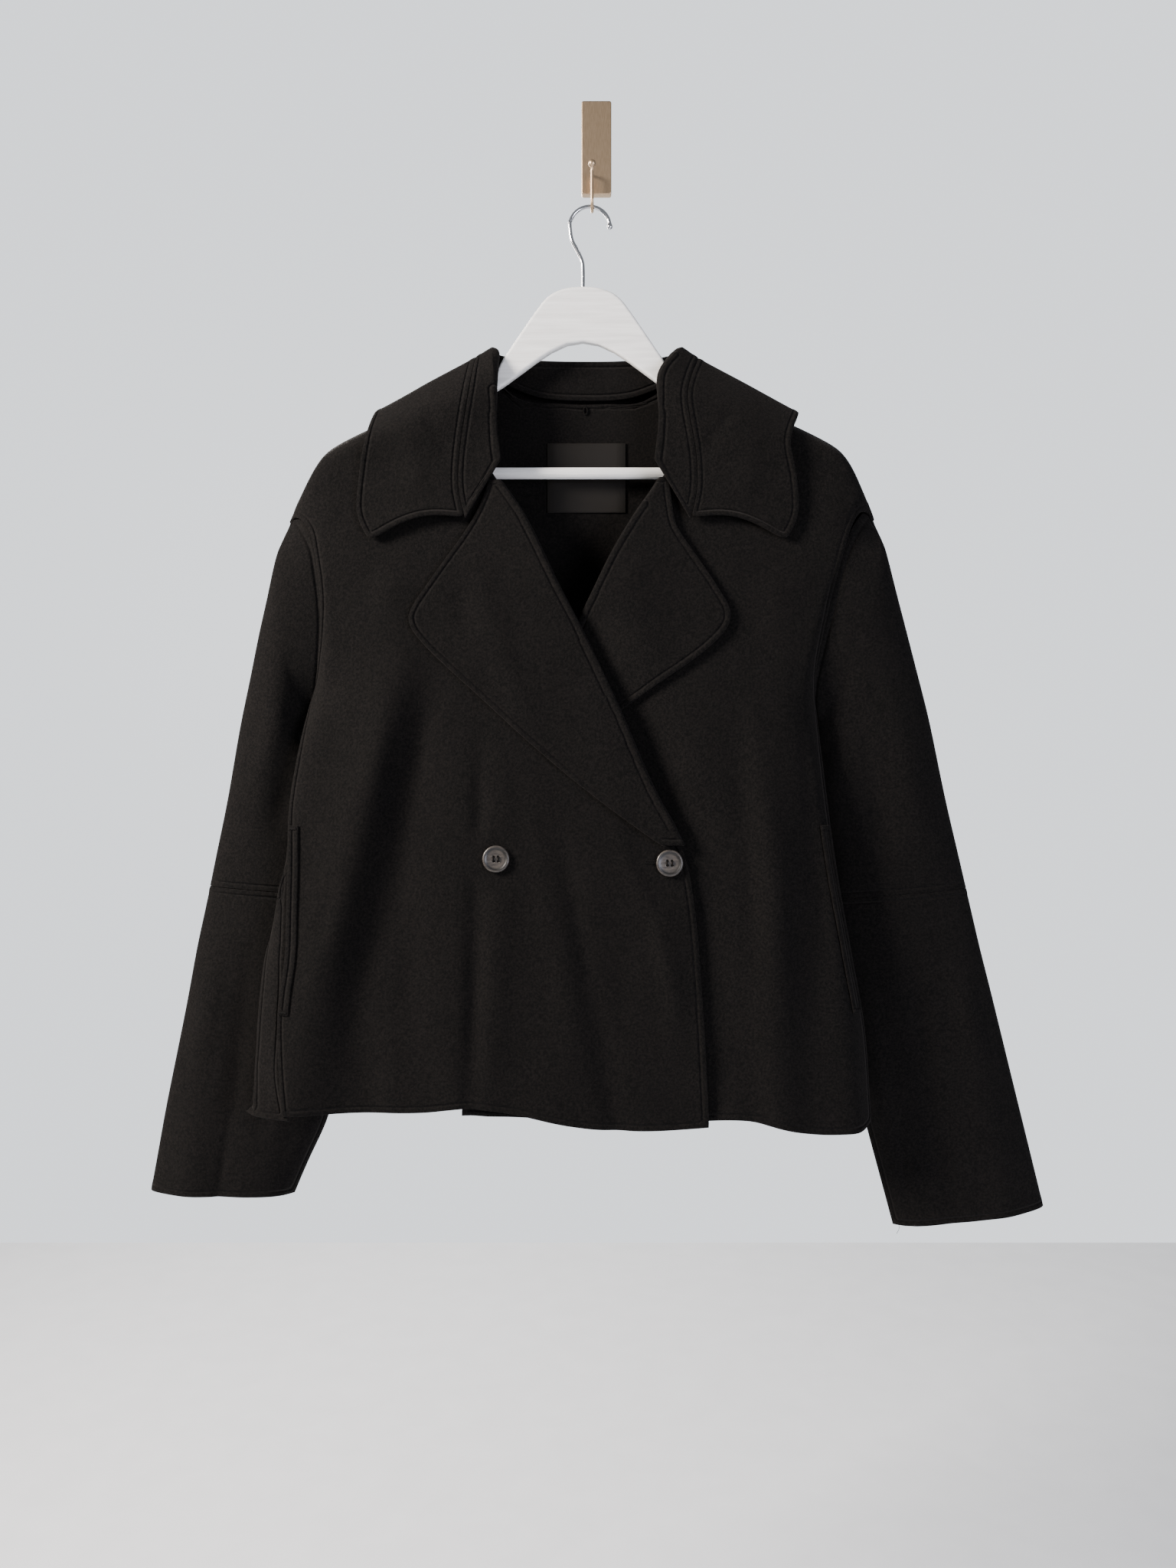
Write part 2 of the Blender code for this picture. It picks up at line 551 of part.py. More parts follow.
def add_buttons():
    """Two dished coat buttons with a rim and four holes, each on the right front."""
    top, rim = BUTTON_THICK, BUTTON_RADIUS
    profile = ((0.0, top - 1.0), (rim - 4.0, top - 1.0), (rim - 2.6, top - 0.1), (rim - 1.6, top),
               (rim - 0.5, top - 0.4), (rim, top - 1.3), (rim - 0.8, 0.7), (rim - 3.0, 0.0), (0.0, 0.0))
    shape = bmesh.new()
    for quarter in range(4):
        angle = math.pi / 4 + quarter * math.pi / 2
        place = Matrix.Translation(Vector((math.cos(angle), math.sin(angle), 0.0)) * 2.6 * MM)
        bmesh.ops.create_cone(shape, cap_ends=True, segments=8, radius1=BUTTON_HOLE * MM,
                              radius2=BUTTON_HOLE * MM, depth=20 * MM, matrix=place)
    holes_mesh = bpy.data.meshes.new("button_holes")
    shape.to_mesh(holes_mesh)
    shape.free()
    for name, x, z in BUTTONS:
        made = turned(name, profile, HORN)
        facing = front_normal(x, z)
        place = Vector((x, front_y(x, z), z)) + facing * 0.9
        made.matrix_world = (Matrix.Translation(place * MM)
                             @ facing.to_track_quat("Z", "Y").to_matrix().to_4x4())
        holes = bpy.data.objects.new(name + "_holes", holes_mesh)
        holes.matrix_world = made.matrix_world
        holes.hide_render = True
        holes.display_type = "WIRE"
        collection("cutters").objects.link(holes)
        cut = made.modifiers.new("Holes", "BOOLEAN")
        cut.object = holes


def add_pockets():
    """Folded edge of the pocket in each side seam, made from the front's own points."""
    for side, name in enumerate(("pocket_edge_right", "pocket_edge_left")):
        rows = []
        for z in np.linspace(POCKET[1], POCKET[0], 9):
            row = []
            for step in np.linspace(0.0, 1.0, 5):
                if side == 0:
                    x = track(RIGHT_SEAM, "z", z).x + 1.2 + POCKET_WIDTH * step
                    row.append((x, front_y(x, z) - 1.7, z))
                else:
                    edge = track(LEFT_FRONT_EDGE, "z", z)
                    x = edge.x - 2.5 - POCKET_WIDTH * (1 - step)
                    row.append((x + 1.0, under_y(x, z) - 1.7, z))
            rows.append(row)
        wall(name, rows, thick=1.1)


def add_label():
    """Bare label inside the back neck, and the small tape loop above it."""
    width, height = NECK_LABEL
    middle_x, middle_z = NECK_LABEL_PLACE
    rows = []
    for z in np.linspace(-height / 2, height / 2, 5) + middle_z:
        xs = np.linspace(-width / 2, width / 2, 7) + middle_x
        rows.append([(x, back_y(x, z) - CLOTH - SEAM - LABEL_THICK, z) for x in xs])
    wall("neck_label", rows, LABEL, LABEL_THICK)
    loop_x, loop_z = LOOP_PLACE
    tape = bpy.data.curves.new("neck_loop", "CURVE")
    tape.dimensions = "2D"
    tape.fill_mode = "BOTH"
    tape.extrude = 0.6 * MM
    for half_width, half_height in ((2.6, 4.2), (1.2, 2.8)):
        spline = tape.splines.new("POLY")
        spline.points.add(7)
        spline.use_cyclic_u = True
        for i, point in enumerate(spline.points):
            angle = 2 * math.pi * i / 8
            point.co = (half_width * math.cos(angle) * MM, half_height * math.sin(angle) * MM, 0.0, 1.0)
    made = add_object("neck_loop", tape, WOOL)
    made.rotation_euler = (math.pi / 2, 0.0, 0.0)
    made.location = Vector((loop_x, back_y(loop_x, loop_z) - CLOTH - SEAM - 0.6, loop_z)) * MM


def wire(name, points, radius, finish):
    """Round wire with capped ends through smooth points."""
    data = bpy.data.curves.new(name, "CURVE")
    data.dimensions = "3D"
    data.bevel_depth = radius * MM
    data.bevel_resolution = 2
    data.use_fill_caps = True
    spline = data.splines.new("POLY")
    spline.points.add(len(points) - 1)
    for spot, point in zip(spline.points, points):
        spot.co = (*(Vector(point) * MM), 1.0)
    return add_object(name, data, finish)


HANGER_X = -12.0
HANGER_HALF = ((0, -134), (-17, -136), (-31, -143), (-44, -159), (-70, -197), (-85, -217), (-147, -249),
               (-187, -266), (-212, -280), (-221, -289), (-223, -299), (-218, -306), (-209, -304),
               (-208.5, -290), (-187, -283), (-85, -231), (0, -183))
HANGER_THICK = 8.0
HANGER_FORWARD = 3.0
BAR_RADIUS = 5.0
BAR_Z = -297.5
BAR_HALF = 208.0
HOOK_RADIUS = 1.7
HOOK_LOOP = (-6.0, -78.8, 17.8)
WALL_WIRE = 1.4
WALL_X = -4.0
CRADLE = (-24.0, -56.6, 8.0)
BALL_RADIUS = 3.4


def add_hanger():
    """Flat wooden hanger with its bar and wire hook."""
    outline = bpy.data.curves.new("hanger_body", "CURVE")
    outline.dimensions = "2D"
    outline.fill_mode = "BOTH"
    outline.extrude = HANGER_THICK / 2 * MM
    points = list(HANGER_HALF) + [(-x, z) for x, z in HANGER_HALF[-2:0:-1]]
    spline = outline.splines.new("POLY")
    spline.points.add(len(points) - 1)
    spline.use_cyclic_u = True
    for spot, (x, z) in zip(spline.points, points):
        spot.co = (x * MM, z * MM, 0.0, 1.0)
    body = add_object("hanger_body", outline, PAINT)
    body.rotation_euler = (math.pi / 2, 0.0, 0.0)
    body.location = Vector((HANGER_X, RIDGE_Y - HANGER_FORWARD, 0.0)) * MM
    mesh = bpy.data.meshes.new("hanger_bar")
    shape = bmesh.new()
    bmesh.ops.create_cone(shape, cap_ends=True, segments=16, radius1=BAR_RADIUS * MM, radius2=BAR_RADIUS * MM,
                          depth=2 * BAR_HALF * MM, matrix=Matrix.Rotation(math.pi / 2, 4, "Y"))
    shape.to_mesh(mesh)
    shape.free()
    mesh.shade_smooth()
    mesh.set_sharp_from_angle(angle=math.radians(40))
    bar = add_object("hanger_bar", mesh, PAINT)
    bar.location = Vector((HANGER_X, RIDGE_Y, BAR_Z)) * MM
    x, z, radius = HOOK_LOOP
    bend = [(HANGER_X, -133.7), (HANGER_X, -118), (HANGER_X - 1.0, -109), (HANGER_X - 5.5, -99),
            (HANGER_X - 10, -90)]
    bend += [(x + radius * math.cos(a), z + radius * math.sin(a))
             for a in np.radians(np.linspace(188, -8, 15))]
    wire("hanger_hook", [(x, RIDGE_Y, z) for x, z in bend], HOOK_RADIUS, CHROME)


def add_wall_hook():
    """Plate on the wall and the wire hook that carries the hanger, with a ball at its end."""
    mesh = bpy.data.meshes.new("wall_plate")
    shape = bmesh.new()
    bmesh.ops.create_cube(shape, size=1.0)
    bmesh.ops.scale(shape, verts=shape.verts, vec=Vector(PLATE) * MM)
    shape.to_mesh(mesh)
    shape.free()
    plate = add_object("wall_plate", mesh, SATIN)
    plate.location = Vector((0.0, -PLATE[1] / 2, 0.0)) * MM
    bevel = plate.modifiers.new("Rounded edges", "BEVEL")
    bevel.width = 1.8 * MM
    bevel.segments = 2
    y, z, radius = CRADLE
    route = [(-PLATE[1] - SEAM, -26.0), (-13.0, -26.0), (-15.2, -27.5), (y + radius, -31.0)]
    route += [(y + radius * math.cos(a), z - radius * math.sin(a)) for a in np.linspace(0, math.pi, 11)]
    route += [(y - radius, -27.0 - BALL_RADIUS)]
    wire("wall_hook", [(WALL_X, spot_y, spot_z) for spot_y, spot_z in route], WALL_WIRE, SATIN)
    mesh = bpy.data.meshes.new("wall_hook_ball")
    shape = bmesh.new()
    bmesh.ops.create_uvsphere(shape, u_segments=14, v_segments=9, radius=BALL_RADIUS * MM)
    shape.to_mesh(mesh)
    shape.free()
    mesh.shade_smooth()
    ball = add_object("wall_hook_ball", mesh, SATIN)
    ball.location = Vector((WALL_X, y - radius, -27.0 + SEAM)) * MM


def main():
    """Build every piece of the jacket and what holds it."""
    for old in list(bpy.data.objects):
        bpy.data.objects.remove(old)
    wall("front_right", front_rows(0))
    wall("front_left", front_rows(1))
    wall("back", back_rows())
    wall("lapel_right", lapel_rows(0))
    wall("lapel_left", lapel_rows(1))
    stand, fall = collar_rows()
    wall("collar_stand", stand)
    wall("collar_fall", fall)
    for side, name in enumerate(("right", "left")):
        upper, lower = ((RIGHT_UPPER, RIGHT_LOWER), (LEFT_UPPER, LEFT_LOWER))[side]
        wall(f"sleeve_{name}_upper", sleeve_rows(upper, side, armhole_ring(side)), closed=True)
        wall(f"sleeve_{name}_lower", sleeve_rows(lower, side), closed=True)
    add_pockets()
    add_label()
    add_buttons()
    add_hanger()
    add_wall_hook()


main()
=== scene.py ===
"""Looks of a double-breasted wool jacket on a painted wooden hanger, hung from a wall hook.

Tables are in millimetres and meshes in metres, in the part's own frame: the origin is the centre of the wall
plate's back face, +Z is up and +Y points into the wall. "Right" and "left" are the wearer's.
"""
from __future__ import annotations

import json
import logging
import math
from dataclasses import dataclass
from enum import Enum
from typing import Any, Iterable, Sequence

import bmesh
import bpy
import numpy as np
from bpy.types import Material, Mesh, Node, NodeSocket, NodeTree, Object
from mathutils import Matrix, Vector
from mathutils.bvhtree import BVHTree
from mathutils.kdtree import KDTree

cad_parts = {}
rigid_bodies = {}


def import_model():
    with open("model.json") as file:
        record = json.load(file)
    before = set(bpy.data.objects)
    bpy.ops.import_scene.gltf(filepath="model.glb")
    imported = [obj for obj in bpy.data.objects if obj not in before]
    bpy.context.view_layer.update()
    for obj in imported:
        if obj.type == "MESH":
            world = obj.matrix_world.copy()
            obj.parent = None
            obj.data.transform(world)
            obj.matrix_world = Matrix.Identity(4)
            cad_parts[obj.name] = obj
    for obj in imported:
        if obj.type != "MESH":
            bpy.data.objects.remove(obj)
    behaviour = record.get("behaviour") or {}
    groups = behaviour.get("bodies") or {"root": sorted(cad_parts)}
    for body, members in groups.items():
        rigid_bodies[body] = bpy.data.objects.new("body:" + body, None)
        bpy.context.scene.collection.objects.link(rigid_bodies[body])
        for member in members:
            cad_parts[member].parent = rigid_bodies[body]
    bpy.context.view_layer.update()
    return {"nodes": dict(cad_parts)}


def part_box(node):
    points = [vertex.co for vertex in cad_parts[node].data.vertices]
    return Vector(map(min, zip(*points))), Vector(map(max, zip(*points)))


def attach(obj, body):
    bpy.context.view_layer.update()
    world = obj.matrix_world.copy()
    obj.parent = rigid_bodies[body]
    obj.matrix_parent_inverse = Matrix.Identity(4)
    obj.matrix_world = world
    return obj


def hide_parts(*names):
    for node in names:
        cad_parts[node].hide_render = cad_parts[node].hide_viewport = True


MM = 0.001
RIM_ANGLE = math.radians(52)     # an edge that turns by more than this is the cut edge of a sheet
FIT_ROUNDS = 4                   # rounds in which a smooth form is brought back to the CAD's points
FIT_SHARE = 0.85
CORNER_ANGLE = math.radians(46)  # the cut edge turns a corner where it bends by more than this
WALL = 2.3                       # edges up to this length run through the cloth's thickness
WAVE_PERIOD = 0.314              # period in metres of a wave texture at scale 1
LINE_FALL = 0.37                 # what is left of a pressed line's depth at half its breadth
SAME_PLACE = 0.01                # points closer than this are one point
JOIN_ANGLES = (0.9, 1.5)         # facets join into one face up to these angles between and in them
ROOT = "root"

log = logging.getLogger("jacket")
Point2 = tuple[float, float]
Point3 = tuple[float, float, float]
Tones = tuple[str, str, float, float]
Relief = tuple[NodeSocket, float, float]


class Slot(Enum):
    """Material slots of the record."""

    WOOL = "wool"
    LABEL = "label"
    HORN = "horn"
    PAINT = "paint"
    CHROME = "chrome"
    SATIN_METAL = "satin_metal"


class Layer(Enum):
    """Which set of creases a cloth piece takes part in."""

    FRONT = "front"
    COLLAR = "collar"
    SLEEVE = "sleeve"
    BACK = "back"


class Lie(Enum):
    """How the threads of a finish lie, by the wave texture's name for it."""

    UPRIGHT = "X"
    SLANTED = "DIAGONAL"


class Corner(Enum):
    """How the corners of a sheet are cut."""

    SHARP = "sharp"
    ROUND = "round"


def linear(hex_colour: str) -> tuple[float, float, float, float]:
    """Turn an sRGB hex colour into linear values.

    Args:
        hex_colour: A colour such as "#1a1716".

    Returns:
        Red, green, blue and alpha as Blender's sockets take them.
    """
    parts = [int(hex_colour[i:i + 2], 16) / 255 for i in (1, 3, 5)]
    r, g, b = (p / 12.92 if p <= 0.04045 else ((p + 0.055) / 1.055) ** 2.4 for p in parts)
    return (r, g, b, 1.0)


def ease(t: np.ndarray) -> np.ndarray:
    """Smooth step from 0 to 1, clamped."""
    t = np.clip(t, 0.0, 1.0)
    return t * t * (3 - 2 * t)


def add_node(tree: NodeTree, kind: str, settings: dict[str, Any] | None = None,
             inputs: dict[str | int, Any] | None = None) -> Node:
    """Add a shader node, set it and join it up.

    Args:
        tree: The material's node tree.
        kind: The node's type name.
        settings: Properties of the node.
        inputs: Values of its inputs; an output socket is linked instead.

    Returns:
        The new node.
    """
    node = tree.nodes.new(kind)
    for key, value in (settings or {}).items():
        setattr(node, key, value)
    for key, value in (inputs or {}).items():
        if isinstance(value, NodeSocket):
            tree.links.new(value, node.inputs[key])
        else:
            node.inputs[key].default_value = value
    return node


def new_material(name: str) -> tuple[Material, NodeTree, Node]:
    """Make a material with an empty Principled shader.

    Args:
        name: The material's name.

    Returns:
        The material, its node tree and the shader node.
    """
    material = bpy.data.materials.new(name)
    material.use_nodes = True
    return material, material.node_tree, material.node_tree.nodes["Principled BSDF"]


def sum_of(tree: NodeTree, terms: Iterable[tuple[NodeSocket, float]]) -> NodeSocket:
    """Add up sockets, each times a weight.

    Args:
        tree: The material's node tree.
        terms: Sockets with their weights.

    Returns:
        The socket of the sum.
    """
    total: Any = 0.0
    for socket, weight in terms:
        total = add_node(tree, "ShaderNodeMath", {"operation": "MULTIPLY_ADD"},
                         {0: socket, 1: weight, 2: total}).outputs[0]
    return total


def pressed_line(tree: NodeTree, attribute: str, at: float, wide: float) -> NodeSocket:
    """Mark the line that lies at a given distance.

    Args:
        tree: The material's node tree.
        attribute: Name of the distance that the mesh carries, in millimetres.
        at: Distance at which the line lies.
        wide: Half its breadth.

    Returns:
        A socket that is 1 on the line and falls to 0 beside it.
    """
    value: Any = add_node(tree, "ShaderNodeAttribute", {"attribute_name": attribute}).outputs["Fac"]
    for operation, second in (("SUBTRACT", at), ("DIVIDE", wide)):
        value = add_node(tree, "ShaderNodeMath", {"operation": operation}, {0: value, 1: second}).outputs[0]
    square = add_node(tree, "ShaderNodeMath", {"operation": "MULTIPLY"}, {0: value, 1: value}).outputs[0]
    return add_node(tree, "ShaderNodeMath", {"operation": "POWER"}, {0: LINE_FALL, 1: square}).outputs[0]


def dress_shader(tree: NodeTree, shader: Node, factor: NodeSocket, tones: Tones,
                 relief: Relief | None, values: dict[str, Any],
                 mark: tuple[NodeSocket, str] | None = None) -> None:
    """Colour a shader, give it relief and set its plain values.

    Args:
        tree: The material's node tree.
        shader: Its Principled shader.
        factor: What drives the change from the first tone to the second.
        tones: Two hex colours, and where between 0 and 1 the change starts and ends.
        relief: Socket of the height, strength of the relief, and its depth in millimetres.
        values: The shader's other values by the names of their sockets.
        mark: Socket of a mark that lies over the tones, and its colour; the horn uses it for painted shade in
            its groove.
    """
    change = add_node(tree, "ShaderNodeValToRGB", inputs={"Fac": factor})
    for stop, tone, place in zip(change.color_ramp.elements, tones[:2], tones[2:]):
        stop.position = place
        stop.color = linear(tone)
    colour = change.outputs["Color"]
    if mark:
        colour = add_node(tree, "ShaderNodeMix", {"data_type": "RGBA"},
                          {0: mark[0], 6: colour, 7: linear(mark[1])}).outputs[2]
    tree.links.new(colour, shader.inputs["Base Color"])
    if relief:
        height, strength, depth = relief
        bump = add_node(tree, "ShaderNodeBump",
                        inputs={"Strength": strength, "Distance": depth * MM, "Height": height})
        tree.links.new(bump.outputs["Normal"], shader.inputs["Normal"])
    for name, value in values.items():
        shader.inputs[name].default_value = value


@dataclass(frozen=True)
class FeltedWool:
    """Double-faced wool, milled and felted: a matt nap that catches light at grazing angles."""

    dark: str = "#040404"
    light: str = "#12100f"
    nap_mm: float = 1.9          # a tuft of the nap, drawn coarser than the real one so that it shows
    fibre_mm: float = 0.5
    cloud_mm: float = 38.0       # slow change of the nap's lie
    rough_noise: float = 0.62
    groove_at: float = 4.6       # the felled edge is pressed down this far inside the cut edge
    groove_wide: float = 0.95
    tone_mix: Point3 = (0.68, 0.24, 0.08)    # shares of nap, fibre and cloud in the colour
    height_mix: Point3 = (0.42, 0.3, -1.5)   # shares of nap, fibre and pressed line in the relief

    def material(self) -> Material:
        """Build the material.

        Returns:
            Wool with nap, slow clouds and the pressed line inside each edge.
        """
        material, tree, shader = new_material("felted_double_faced_wool")
        place = add_node(tree, "ShaderNodeTexCoord").outputs["Object"]
        nap, fibre, cloud = (
            add_node(tree, "ShaderNodeTexNoise", inputs={
                "Vector": place, "Scale": 1 / (size * MM), "Detail": detail,
                "Roughness": self.rough_noise}).outputs["Fac"]
            for size, detail in ((self.nap_mm, 3.0), (self.fibre_mm, 1.0), (self.cloud_mm, 3.0)))
        mixed = sum_of(tree, zip((nap, fibre, cloud), self.tone_mix))
        line = pressed_line(tree, "edge_mm", self.groove_at, self.groove_wide)
        height = sum_of(tree, zip((nap, fibre, line), self.height_mix))
        dress_shader(tree, shader, mixed, (self.dark, self.light, 0.41, 0.61), (height, 1.0, 1.1), {
            "Roughness": 0.93, "Specular IOR Level": 0.08, "Sheen Weight": 0.045, "Sheen Roughness": 0.5,
            "Sheen Tint": linear("#b3aaa6")})
        return material


@dataclass(frozen=True)
class PolishedHorn:
    """Turned and polished horn: a soft shine, brown streaks under it, and painted shade in the turned groove
    inside the rim.
    """

    dark: str = "#242120"
    light: str = "#443f3a"
    # painted shade: the dark colour laid into the turned groove, where shade falls
    ring: str = "#020202"
    streak_mm: float = 5.0
    streak_turn: Point3 = (0.3, 0.8, 0.2)
    streak_scale: Point3 = (1.0, 1.0, 3.5)
    ring_at: float = 8.7         # distance of the turned ring from the button's middle
    ring_wide: float = 1.15

    def material(self) -> Material:
        """Build the material.

        Returns:
            Dark horn with soft streaks, and the turned ring whose groove is darkened with painted shade.
        """
        material, tree, shader = new_material("turned_polished_horn")
        place = add_node(tree, "ShaderNodeTexCoord").outputs["Object"]
        turned = add_node(tree, "ShaderNodeMapping", inputs={
            "Vector": place, "Rotation": self.streak_turn, "Scale": self.streak_scale}).outputs["Vector"]
        streak = add_node(tree, "ShaderNodeTexNoise", inputs={
            "Vector": turned, "Detail": 4.0, "Scale": 1 / (self.streak_mm * MM)}).outputs["Fac"]
        # the ring line sinks the groove as relief and also darkens its colour as painted shade
        line = pressed_line(tree, "radius_mm", self.ring_at, self.ring_wide)
        groove = sum_of(tree, ((line, -1.0),))
        dress_shader(tree, shader, streak, (self.dark, self.light, 0.3, 0.7), (groove, 0.6, 0.4),
                     {"Roughness": 0.4, "Coat Weight": 0.12}, (line, self.ring))
        return material


@dataclass(frozen=True)
class ThreadFinish:
    """Threads side by side, woven or twisted: fine ribs that break up the light."""

    name: str
    tones: Tones
    thread_mm: float
    lie: Lie
    wander: float                # how far the ribs stray
    relief: Point2               # strength, and depth in millimetres
    values: tuple[tuple[str, float], ...]

    def material(self) -> Material:
        """Build the material.

        Returns:
            A dark finish with fine threads.
        """
        material, tree, shader = new_material(self.name)
        place = add_node(tree, "ShaderNodeTexCoord").outputs["Object"]
        ribs = add_node(tree, "ShaderNodeTexWave", {"bands_direction": self.lie.value}, {
            "Vector": place, "Scale": WAVE_PERIOD / (self.thread_mm * MM),
            "Distortion": self.wander}).outputs["Fac"]
        dress_shader(tree, shader, ribs, self.tones, (ribs, *self.relief), dict(self.values))
        return material


@dataclass(frozen=True)
class GrainedFinish:
    """A hard skin with marks in one direction, of the grain below it or of the tool that made it."""

    name: str
    tones: Tones
    mark_mm: float
    stretch: Point3              # scale of the marks along x, y and z
    relief: Point2               # strength, and depth in millimetres
    roughness: float
    metallic: float = 0.0

    def material(self) -> Material:
        """Build the material.

        Returns:
            A finish with fine marks in one direction.
        """
        material, tree, shader = new_material(self.name)
        place = add_node(tree, "ShaderNodeTexCoord").outputs["Object"]
        along = add_node(tree, "ShaderNodeMapping", inputs={"Vector": place, "Scale": self.stretch})
        marks = add_node(tree, "ShaderNodeTexNoise", inputs={
            "Vector": along.outputs["Vector"], "Detail": 3.0,
            "Scale": 1 / (self.mark_mm * MM)}).outputs["Fac"]
        dress_shader(tree, shader, marks, self.tones, (marks, *self.relief),
                     {"Roughness": self.roughness, "Metallic": self.metallic})
        return material


# Satin weave of the label: floats in one direction give a soft lengthwise shine.
SATIN_TAPE = ThreadFinish("woven_satin_tape", ("#0d0b0a", "#181511", 0.1, 0.9), 0.35, Lie.UPRIGHT, 0.6,
                          (0.4, 0.08),
                          (("Roughness", 0.55), ("Specular IOR Level", 0.12), ("Anisotropic", 0.4)))
# Spun sewing thread: matt, with the twist as fine slanted ribs.
SPUN_THREAD = ThreadFinish("spun_twisted_thread", ("#040303", "#0e0c0b", 0.3, 0.7), 0.5, Lie.SLANTED, 0.0,
                           (0.5, 0.08), (("Roughness", 0.85), ("Specular IOR Level", 0.15)))
# White paint sprayed on smoothed wood: an even satin skin through which faint grain shows.
PAINT = GrainedFinish("sprayed_white_paint_on_wood", ("#dcdcda", "#f0f0ee", 0.3, 0.7), 3.0, (0.06, 1.0, 1.0),
                      (0.25, 0.1), 0.38)
# Bright chrome on drawn wire: a mirror broken by faint marks of the drawing.
CHROME = GrainedFinish("bright_chrome_on_drawn_wire", ("#c4c5c8", "#dcdde0", 0.3, 0.7), 0.8, (1.0, 1.0, 1.0),
                       (0.15, 0.02), 0.16, 1.0)
# Brushed plating: brush marks along the plate spread the shine.
SATIN_METAL = GrainedFinish("brushed_satin_plating", ("#b39a7d", "#c4ab8e", 0.3, 0.7), 0.9, (1.0, 1.0, 0.12),
                            (0.15, 0.02), 0.42, 1.0)


@dataclass(frozen=True)
class Crease:
    """A soft ridge (height above 0) or trough (below 0) along a path over the cloth."""

    path: tuple[Point2, ...]     # x and z
    width: float
    height: float
    to_edge: bool = False        # keeps its height up to the path's last point
    fade: float = 0.35           # share of the path over which it rises and dies away
    swell: Point2 = (0.22, 9.0)  # how much, and how often, its height changes along the path
    taper: Point2 = (0.75, 0.5)  # share of its width at the start, and what it gains to the end
    waver: Point2 = (0.12, 13.0)     # how much, and how often, its width changes
    seed_share: float = 0.37     # sets creases in different places out of step

    def lift(self, x: np.ndarray, z: np.ndarray) -> np.ndarray:
        """How far the crease lifts the cloth.

        Args:
            x: Places across, in millimetres.
            z: Places up, in millimetres.

        Returns:
            Height above the plain form, in millimetres.
        """
        points = np.array(self.path, float)
        steps = np.diff(points, axis=0)
        lengths = np.hypot(steps[:, 0], steps[:, 1])
        starts = np.concatenate(([0.0], np.cumsum(lengths)[:-1]))
        nearest = np.full(x.shape, 1e9)
        along = np.zeros(x.shape)
        for point, step, length, start in zip(points, steps, lengths, starts):
            t = np.clip(((x - point[0]) * step[0] + (z - point[1]) * step[1]) / length ** 2, 0, 1)
            away = np.hypot(x - point[0] - t * step[0], z - point[1] - t * step[1])
            closer = away < nearest
            nearest = np.where(closer, away, nearest)
            along = np.where(closer, (start + t * length) / lengths.sum(), along)
        seed = points[0, 0] * self.seed_share
        fade = ease(along / self.fade) * (1.0 if self.to_edge else ease((1 - along) / self.fade))
        uneven = 1 + self.swell[0] * np.sin(along * self.swell[1] + seed)
        wide = self.width * (self.taper[0] + self.taper[1] * along
                             + self.waver[0] * np.sin(along * self.waver[1] + seed))
        return self.height * uneven * fade * np.exp(-(nearest / wide) ** 2)


FRONT_CREASES: tuple[Crease, ...] = (
    Crease(((-154, -420), (-202, -632), (-250, -790)), 17, 3.0),
    Crease(((-132, -455), (-172, -620), (-202, -745), (-210, -850)), 15, -3.2, True),
    Crease(((-99, -505), (-100, -622), (-105, -850)), 7, -2.4, True),
    Crease(((-80, -520), (-82, -690), (-90, -850)), 13, 1.8, True),
    Crease(((-61, -571), (-26, -743), (0, -862)), 13, 1.7, True),
    Crease(((-38, -575), (-11, -718), (17, -862)), 8, -1.4, True),
    Crease(((4, -586), (50, -693), (78, -819)), 11, 1.9),
    Crease(((34, -665), (60, -780)), 7, -1.3),
    Crease(((126, -455), (150, -642), (157, -866)), 14, 2.2, True),
    Crease(((114, -500), (130, -642), (131, -858)), 10, -1.8, True),
    Crease(((174, -500), (182, -600), (198, -770)), 9, -1.6),
    Crease(((-168, -700), (-176, -850)), 11, 1.3, True),
    Crease(((-172, -378), (-190, -460)), 15, 1.4),
    Crease(((146, -378), (164, -460)), 15, 1.4),
    Crease(((-112, -352), (-86, -449), (-41, -561)), 13, 1.5),
    Crease(((-124, -398), (-105, -452)), 9, -1.0),
    Crease(((56, -358), (14, -410)), 11, 1.0),
    Crease(((-215, -640), (-238, -720)), 8, -1.2))
COLLAR_CREASES: tuple[Crease, ...] = (
    Crease(((-152, -242), (-125, -298)), 7, -1.0),
    Crease(((-165, -262), (-150, -330)), 11, 0.9),
    Crease(((121, -242), (84, -300)), 7, -1.0),
    Crease(((140, -265), (125, -330)), 11, 0.9))
SLEEVE_CREASES: tuple[Crease, ...] = (
    Crease(((-262, -398), (-276, -508), (-309, -644)), 14, 1.8),
    Crease(((-252, -470), (-266, -545), (-283, -640)), 10, -2.0),
    Crease(((-325, -684), (-346, -801), (-356, -932)), 14, 1.8, True),
    Crease(((-298, -690), (-314, -827), (-325, -932)), 10, -1.8, True),
    Crease(((-250, -700), (-264, -800), (-290, -930)), 10, 1.2, True),
    Crease(((246, -455), (277, -592), (299, -655)), 14, 1.9),
    Crease(((225, -487), (246, -618), (262, -660)), 10, -1.8),
    Crease(((304, -690), (330, -801), (356, -950)), 14, 1.9, True),
    Crease(((272, -690), (288, -827), (309, -955)), 10, -1.7, True),
    Crease(((228, -700), (244, -800), (262, -930)), 9, 1.1),
    Crease(((-318, -850), (-330, -932)), 3, -0.9, True),
    Crease(((262, -850), (274, -958)), 3, -0.9, True))
BACK_CREASES: tuple[Crease, ...] = (
    Crease(((-170, -380), (-195, -620), (-205, -852)), 20, 1.8, True),
    Crease(((-90, -420), (-105, -640), (-110, -856)), 15, -1.6, True),
    Crease(((-10, -450), (-12, -858)), 18, 1.3, True),
    Crease(((70, -420), (84, -640), (92, -858)), 15, -1.6, True),
    Crease(((130, -390), (155, -620), (168, -858)), 20, 1.7, True))
